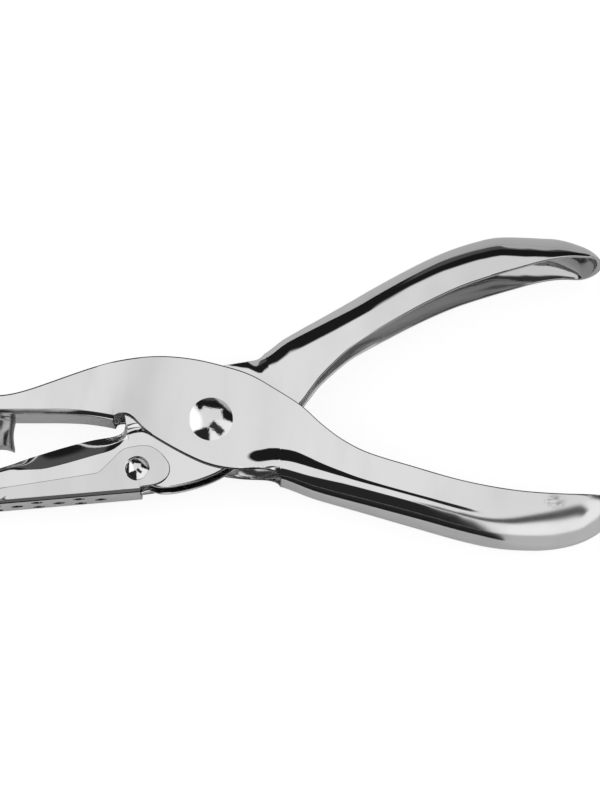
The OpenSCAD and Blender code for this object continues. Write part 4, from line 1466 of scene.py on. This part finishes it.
@dataclass
class ReturnSpring:
    """The torsion spring round the pivot, with a leg behind each handle."""

    outer: OuterLever
    inner: InnerLever
    wire: float = 1.0
    curl_r: float = 4.1
    pitch: float = 1.5
    turns: int = 4
    upper_dir: float = 27.0
    lower_dir: float = -18.0
    upper_len: float = 21.0
    lower_len: float = 20.0
    gap: float = 0.3
    knee: float = 0.9
    knee_steps: int = 6
    steps: int = 28
    sharp: float = 45.0

    @staticmethod
    def heading(angle: float) -> np.ndarray:
        """Unit direction at an angle in degrees, square to the pivot."""
        return np.array([math.cos(math.radians(angle)), math.sin(math.radians(angle)), 0.0])

    def foot(self, knee: np.ndarray, lever: Lever) -> np.ndarray:
        """A leg's foot, up to a small gap from the inside of a lever's back.

        Args:
            knee: where the foot starts.
            lever: the lever that it presses on.

        Returns:
            The foot's direction and length.
        """
        a, side = math.radians(lever.turn), lever.side.value
        x = knee[0] * math.cos(a) + knee[1] * math.sin(a)
        y = knee[1] * math.cos(a) - knee[0] * math.sin(a)
        low, mid, high = curve_at(lever.back, x + np.array([-1, 0, 1]))
        slope = math.atan2(high - low, 2)
        crest = curve_at(lever.crest, x) - lever.sheet
        r = min(lever.fold_at(x, lever.tip) - lever.sheet, lever.fold_of_width * crest)
        off = max(0.0, abs(knee[2]) + self.wire / 2 - crest + r)
        away = side * (mid - y) - lever.sheet - (r - math.sqrt(r * r - off * off))
        angle = lever.turn + math.degrees(slope) + 90 * side
        return self.heading(angle) * (away * math.cos(slope) - self.gap)

    def route(self) -> np.ndarray:
        """Centre line of the wire about the pivot.

        Returns:
            Its points.
        """
        start, end = self.upper_dir + 90, self.lower_dir - 90 + 360 * self.turns
        rise = self.pitch * (end - start) / 360
        count = math.ceil((end - start) / 360 * self.steps)
        curls = []
        for s in np.arange(count + 1) / count:
            curls.append(self.curl_r * self.heading(start + (end - start) * s) + [0, 0, rise * (0.5 - s)])
        legs = []
        for curl, angle, length, lever in (
            (curls[0], self.upper_dir, self.upper_len, self.inner),
            (curls[-1], self.lower_dir, self.lower_len, self.outer),
        ):
            leg = self.heading(angle)
            knee = curl + length * leg
            foot = self.foot(knee, lever)
            turn_in = knee + foot / np.linalg.norm(foot) * self.knee
            legs.append([*bend(knee - leg * self.knee, knee, turn_in, self.knee_steps), knee + foot])
        return np.array([*legs[0][::-1], *curls, *legs[1]])

    @staticmethod
    def tube_tree() -> bpy.types.NodeTree:
        """Geometry nodes that sweep a round wire along a path.

        Returns:
            The tree.
        """
        tree = NodeTree.shaping("round_wire", {"Width": "Float"})
        line = tree.add("GeometryNodeMeshToCurve", Mesh=tree.given["Geometry"])
        radius = tree.math("MULTIPLY", tree.given["Width"], 0.5)
        circle = tree.add("GeometryNodeCurvePrimitiveCircle", Resolution=14, Radius=radius)
        tube = tree.add("GeometryNodeCurveToMesh", Curve=line, Profile_Curve=circle, Fill_Caps=True)
        return tree.shaped(tube)

    def make(self) -> Object:
        """Builds the torsion spring between the two levers.

        Returns:
            The finished piece.
        """
        path = self.route()
        mesh = bpy.data.meshes.new("return_spring_wire")
        mesh.from_pydata(path.tolist(), [(k, k + 1) for k in range(len(path) - 1)], [])
        mesh.transform(TO_METRES @ about_pivot())
        obj = new_object("return_spring_wire", mesh)
        run_tree(obj, self.tube_tree(), {"Width": self.wire * MM, "Finish": DRAWN_WIRE.material()})
        face_outwards(obj.data)
        dress(obj, DRAWN_WIRE, "return_spring", None, self.sharp)
        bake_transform(obj)
        return obj


@dataclass
class InnerHardware:
    """The plain bush and washer, whose CAD shapes are kept."""

    nodes: tuple[str, ...] = ("pivot_bush", "punch_washer")

    def dress(self) -> None:
        """Gives the CAD pieces a turned steel finish."""
        for node in self.nodes:
            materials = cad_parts[node].data.materials
            materials.clear()
            materials.append(TURNED_STEEL.material())
            log.info("%s keeps its CAD shape", node)


@dataclass(frozen=True)
class Card:
    """A flat reflector or a dark opening round the punch, as polished metal sees it.

    Its corners are given by the slopes of the surfaces that reflect it to the lens: across, then up.
    """

    name: str
    level: float
    soft: float
    corners: Knots

    def mask(self, tree: NodeTree, across: Socket, up: Socket) -> Value:
        """Adds the card's mask to the room's tree.

        Args:
            tree: the room's tree.
            across: slope across of the surface that would reflect the ray to the lens.
            up: slope up of that surface.

        Returns:
            One inside the card, easing to zero at its edges.
        """
        total: Value = 1.0
        for (x0, y0), (x1, y1) in zip(self.corners, self.corners[1:] + self.corners[:1]):
            length = math.hypot(x1 - x0, y1 - y0)
            a, b = (y0 - y1) / length, (x1 - x0) / length
            side = tree.math("MULTIPLY_ADD", across, a, tree.math("MULTIPLY", up, b))
            inside = a * x0 + b * y0
            edge = tree.ramp(side, inside - self.soft, inside + self.soft)
            total = tree.math("MULTIPLY", edge, total)
        return total


FAR = 4.0
CARDS = (
    Card("soft_box", 1.25, 0.13, ((-0.46, -0.62), (-0.44, 0), (-0.8, 0.55), (-FAR, 3), (-FAR, -1.6))),
    Card("low_card", 0.98, 0.06, ((FAR, -0.11), (-0.05, -0.11), (-0.05, -FAR), (FAR, -FAR))),
    Card("left_gap", 0.012, 0.06, ((-1.02, -FAR), (-1.02, FAR), (-FAR, FAR), (-FAR, -FAR))),
    Card(
        "top_gap", 0.012, 0.05,
        ((-FAR, 0.52), (-0.3, 0.44), (0.42, 0.32), (FAR, -0.72), (FAR, FAR), (-FAR, FAR)),
    ),
    Card("side_gap", 0.012, 0.05, ((0.42, 0.32), (0.55, -0.05), (FAR, -1.2), (FAR, FAR))),
    Card("left_slot", 0.012, 0.05, ((-0.6, 0.36), (-0.42, 0.4), (-0.3, FAR), (-2.33, FAR))),
    Card("upper_grey", 0.085, 0.04, ((-0.55, 0.86), (FAR, 0.86), (FAR, FAR), (-0.55, FAR))),
    Card("far_wall", 0.5, 0.05, ((0, 1.065), (FAR, -2.335), (FAR, FAR), (0, FAR))),
    Card("top_wall", 0.5, 0.06, ((-FAR, 2), (-0.3, 1.08), (FAR, 1.08), (FAR, FAR), (-FAR, FAR))),
    Card("dark_box", 0.04, 0.05, ((0.08, -0.12), (-0.15, -0.39), (0.4, -0.84), (0.62, -0.58))),
    Card(
        "front_dark", 0.02, 0.05,
        ((-0.78, -0.56), (-FAR, -1.4), (-FAR, -FAR), (-0.05, -FAR), (-0.1, -0.5), (-0.3, -0.36)),
    ),
)


@dataclass
class Studio:
    """Floor, light, reflectors and camera."""

    floor_half: float = 1.5
    floor_shade: float = 0.9
    floor_seen: float = 0.3
    floor_glow: float = 0.86
    lamp_height: float = 1.2
    lamp_size: Pair = (4.2, 0.86)
    lamp_level: float = 0.86
    fill_level: float = 0.3
    ceiling_level: float = 0.84
    slope_unit: float = 0.54
    flag: Knots = (
        (-0.6, -0.6), (0.042, -0.6), (0.042, -0.037), (-0.003, -0.024), (-0.024, -0.03), (-0.032, -0.039),
        (-0.6, -0.039),
    )
    flag_lift: float = 0.0005
    flag_shade: float = 0.01
    eye: Triple = (-5.6426, -98.31873, 485.605)
    right: Triple = (0.99989, 0.0, 0.0147)
    up: Triple = (-0.0029, 0.98, 0.1989)
    lens: float = 108.0
    sensor: float = 36.0
    clip: Pair = (0.01, 20.0)

    def camera(self) -> None:
        """Sets the camera at the photograph's viewing angle."""
        data = bpy.data.cameras.new("studio_camera")
        data.lens, data.sensor_width = self.lens, self.sensor
        data.clip_start, data.clip_end = self.clip
        obj = new_object("studio_camera", data)
        right = Vector(self.right).normalized()
        up = (Vector(self.up) - right * right.dot(Vector(self.up))).normalized()
        turn = Matrix((right, up, right.cross(up))).transposed().to_4x4()
        obj.matrix_world = Matrix.Translation(Vector(self.eye) * MM) @ turn
        bpy.context.scene.camera = obj

    @staticmethod
    def sheet(name: str, finish: str, corners: Knots, height: float) -> tuple[Object, NodeTree]:
        """Lays a flat sheet on the stage, with an empty material.

        Args:
            name: the sheet's name.
            finish: its material's name.
            corners: its corners.
            height: how high it lies.

        Returns:
            Its object, and the tree of its material.
        """
        mesh = bpy.data.meshes.new(name)
        mesh.from_pydata([(x, y, height) for x, y in corners], [], [tuple(range(len(corners)))])
        mat = bpy.data.materials.new(finish)
        mat.use_nodes = True
        mesh.materials.append(mat)
        obj = new_object(name, mesh)
        return obj, NodeTree(mat.node_tree)

    def floor(self) -> None:
        """Lays the pale floor, which the camera sees near white with the punch's soft shadow."""
        h = self.floor_half
        _, tree = self.sheet("studio_floor", "pale_floor", ((-h, -h), (h, -h), (h, h), (-h, h)), 0.0)
        matt, faint = (
            tree.add("ShaderNodeBsdfDiffuse", Color=(shade, shade, shade, 1))
            for shade in (self.floor_shade, self.floor_seen)
        )
        glow = tree.add("ShaderNodeEmission", Color=WHITE, Strength=self.floor_glow)
        seen = tree.add("ShaderNodeAddShader", faint, glow)
        path = tree.add("ShaderNodeLightPath")
        pick = tree.add("ShaderNodeMixShader", path.outputs["Is Camera Ray"], matt, seen)
        tree.add("ShaderNodeOutputMaterial", Surface=pick)

    def front_flag(self) -> None:
        """Lays a dark card before the punch, which only its reflections see."""
        obj, tree = self.sheet("front_flag", "dark_card", self.flag, self.flag_lift)
        dark = (self.flag_shade, self.flag_shade, self.flag_shade, 1)
        shader = tree.add("ShaderNodeBsdfPrincipled", Base_Color=dark, Roughness=1.0)
        tree.add("ShaderNodeOutputMaterial", Surface=shader)
        obj.visible_camera = obj.visible_diffuse = obj.visible_shadow = False

    def lamp(self) -> None:
        """Hangs the long soft box above the punch."""
        data = bpy.data.lights.new("long_soft_box", "AREA")
        data.shape = "RECTANGLE"
        data.size, data.size_y = self.lamp_size
        data.energy = self.lamp_level * math.pi * self.lamp_size[0] * self.lamp_size[1]
        obj = new_object("long_soft_box", data)
        obj.location = (0, 0, self.lamp_height)
        obj.visible_camera = obj.visible_glossy = False

    def room(self) -> None:
        """Paints the room: white to the camera, even to matt surfaces, hung with cards to metal."""
        world = bpy.data.worlds.new("studio_room")
        bpy.context.scene.world = world
        world.use_nodes = True
        tree = NodeTree(world.node_tree)
        path = tree.add("ShaderNodeLightPath")
        ray = tree.add("ShaderNodeTexCoord").outputs["Generated"]
        lens = Vector(self.right).cross(Vector(self.up)).normalized()
        between = tree.add("ShaderNodeVectorMath", ray, lens, operation="ADD")
        slope = tree.add("ShaderNodeVectorMath", between, operation="NORMALIZE")
        split = tree.add("ShaderNodeSeparateXYZ", slope)
        across, up = (tree.math("DIVIDE", split.outputs[axis], self.slope_unit) for axis in "XY")
        level: Value = self.ceiling_level
        for card in CARDS:
            mask = card.mask(tree, across, up)
            level = tree.add("ShaderNodeMix", data_type="FLOAT", Factor=mask, A=level, B=card.level)
        metal, even, white = (
            tree.add("ShaderNodeBackground", Color=WHITE, Strength=strength)
            for strength in (level, self.fill_level, 1.0)
        )
        lit = tree.add("ShaderNodeMixShader", path.outputs["Is Glossy Ray"], even, metal)
        seen = tree.add("ShaderNodeMixShader", path.outputs["Is Camera Ray"], lit, white)
        tree.add("ShaderNodeOutputWorld", Surface=seen)

    def make(self) -> None:
        """Sets the whole studio."""
        bpy.context.scene.view_settings.view_transform = "Standard"
        for step in (self.camera, self.floor, self.front_flag, self.lamp, self.room):
            step()


def main() -> None:
    """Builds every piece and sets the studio."""
    Studio().make()
    outer, inner, catcher = OuterLever(), InnerLever(), ChipCatcher()
    for piece in (outer, inner, catcher):
        piece.make()
    Rivets().make(catcher.place().translation)
    Punch().make()
    ReturnSpring(outer, inner).make()
    InnerHardware().dress()


if __name__ == "__main__":
    main()
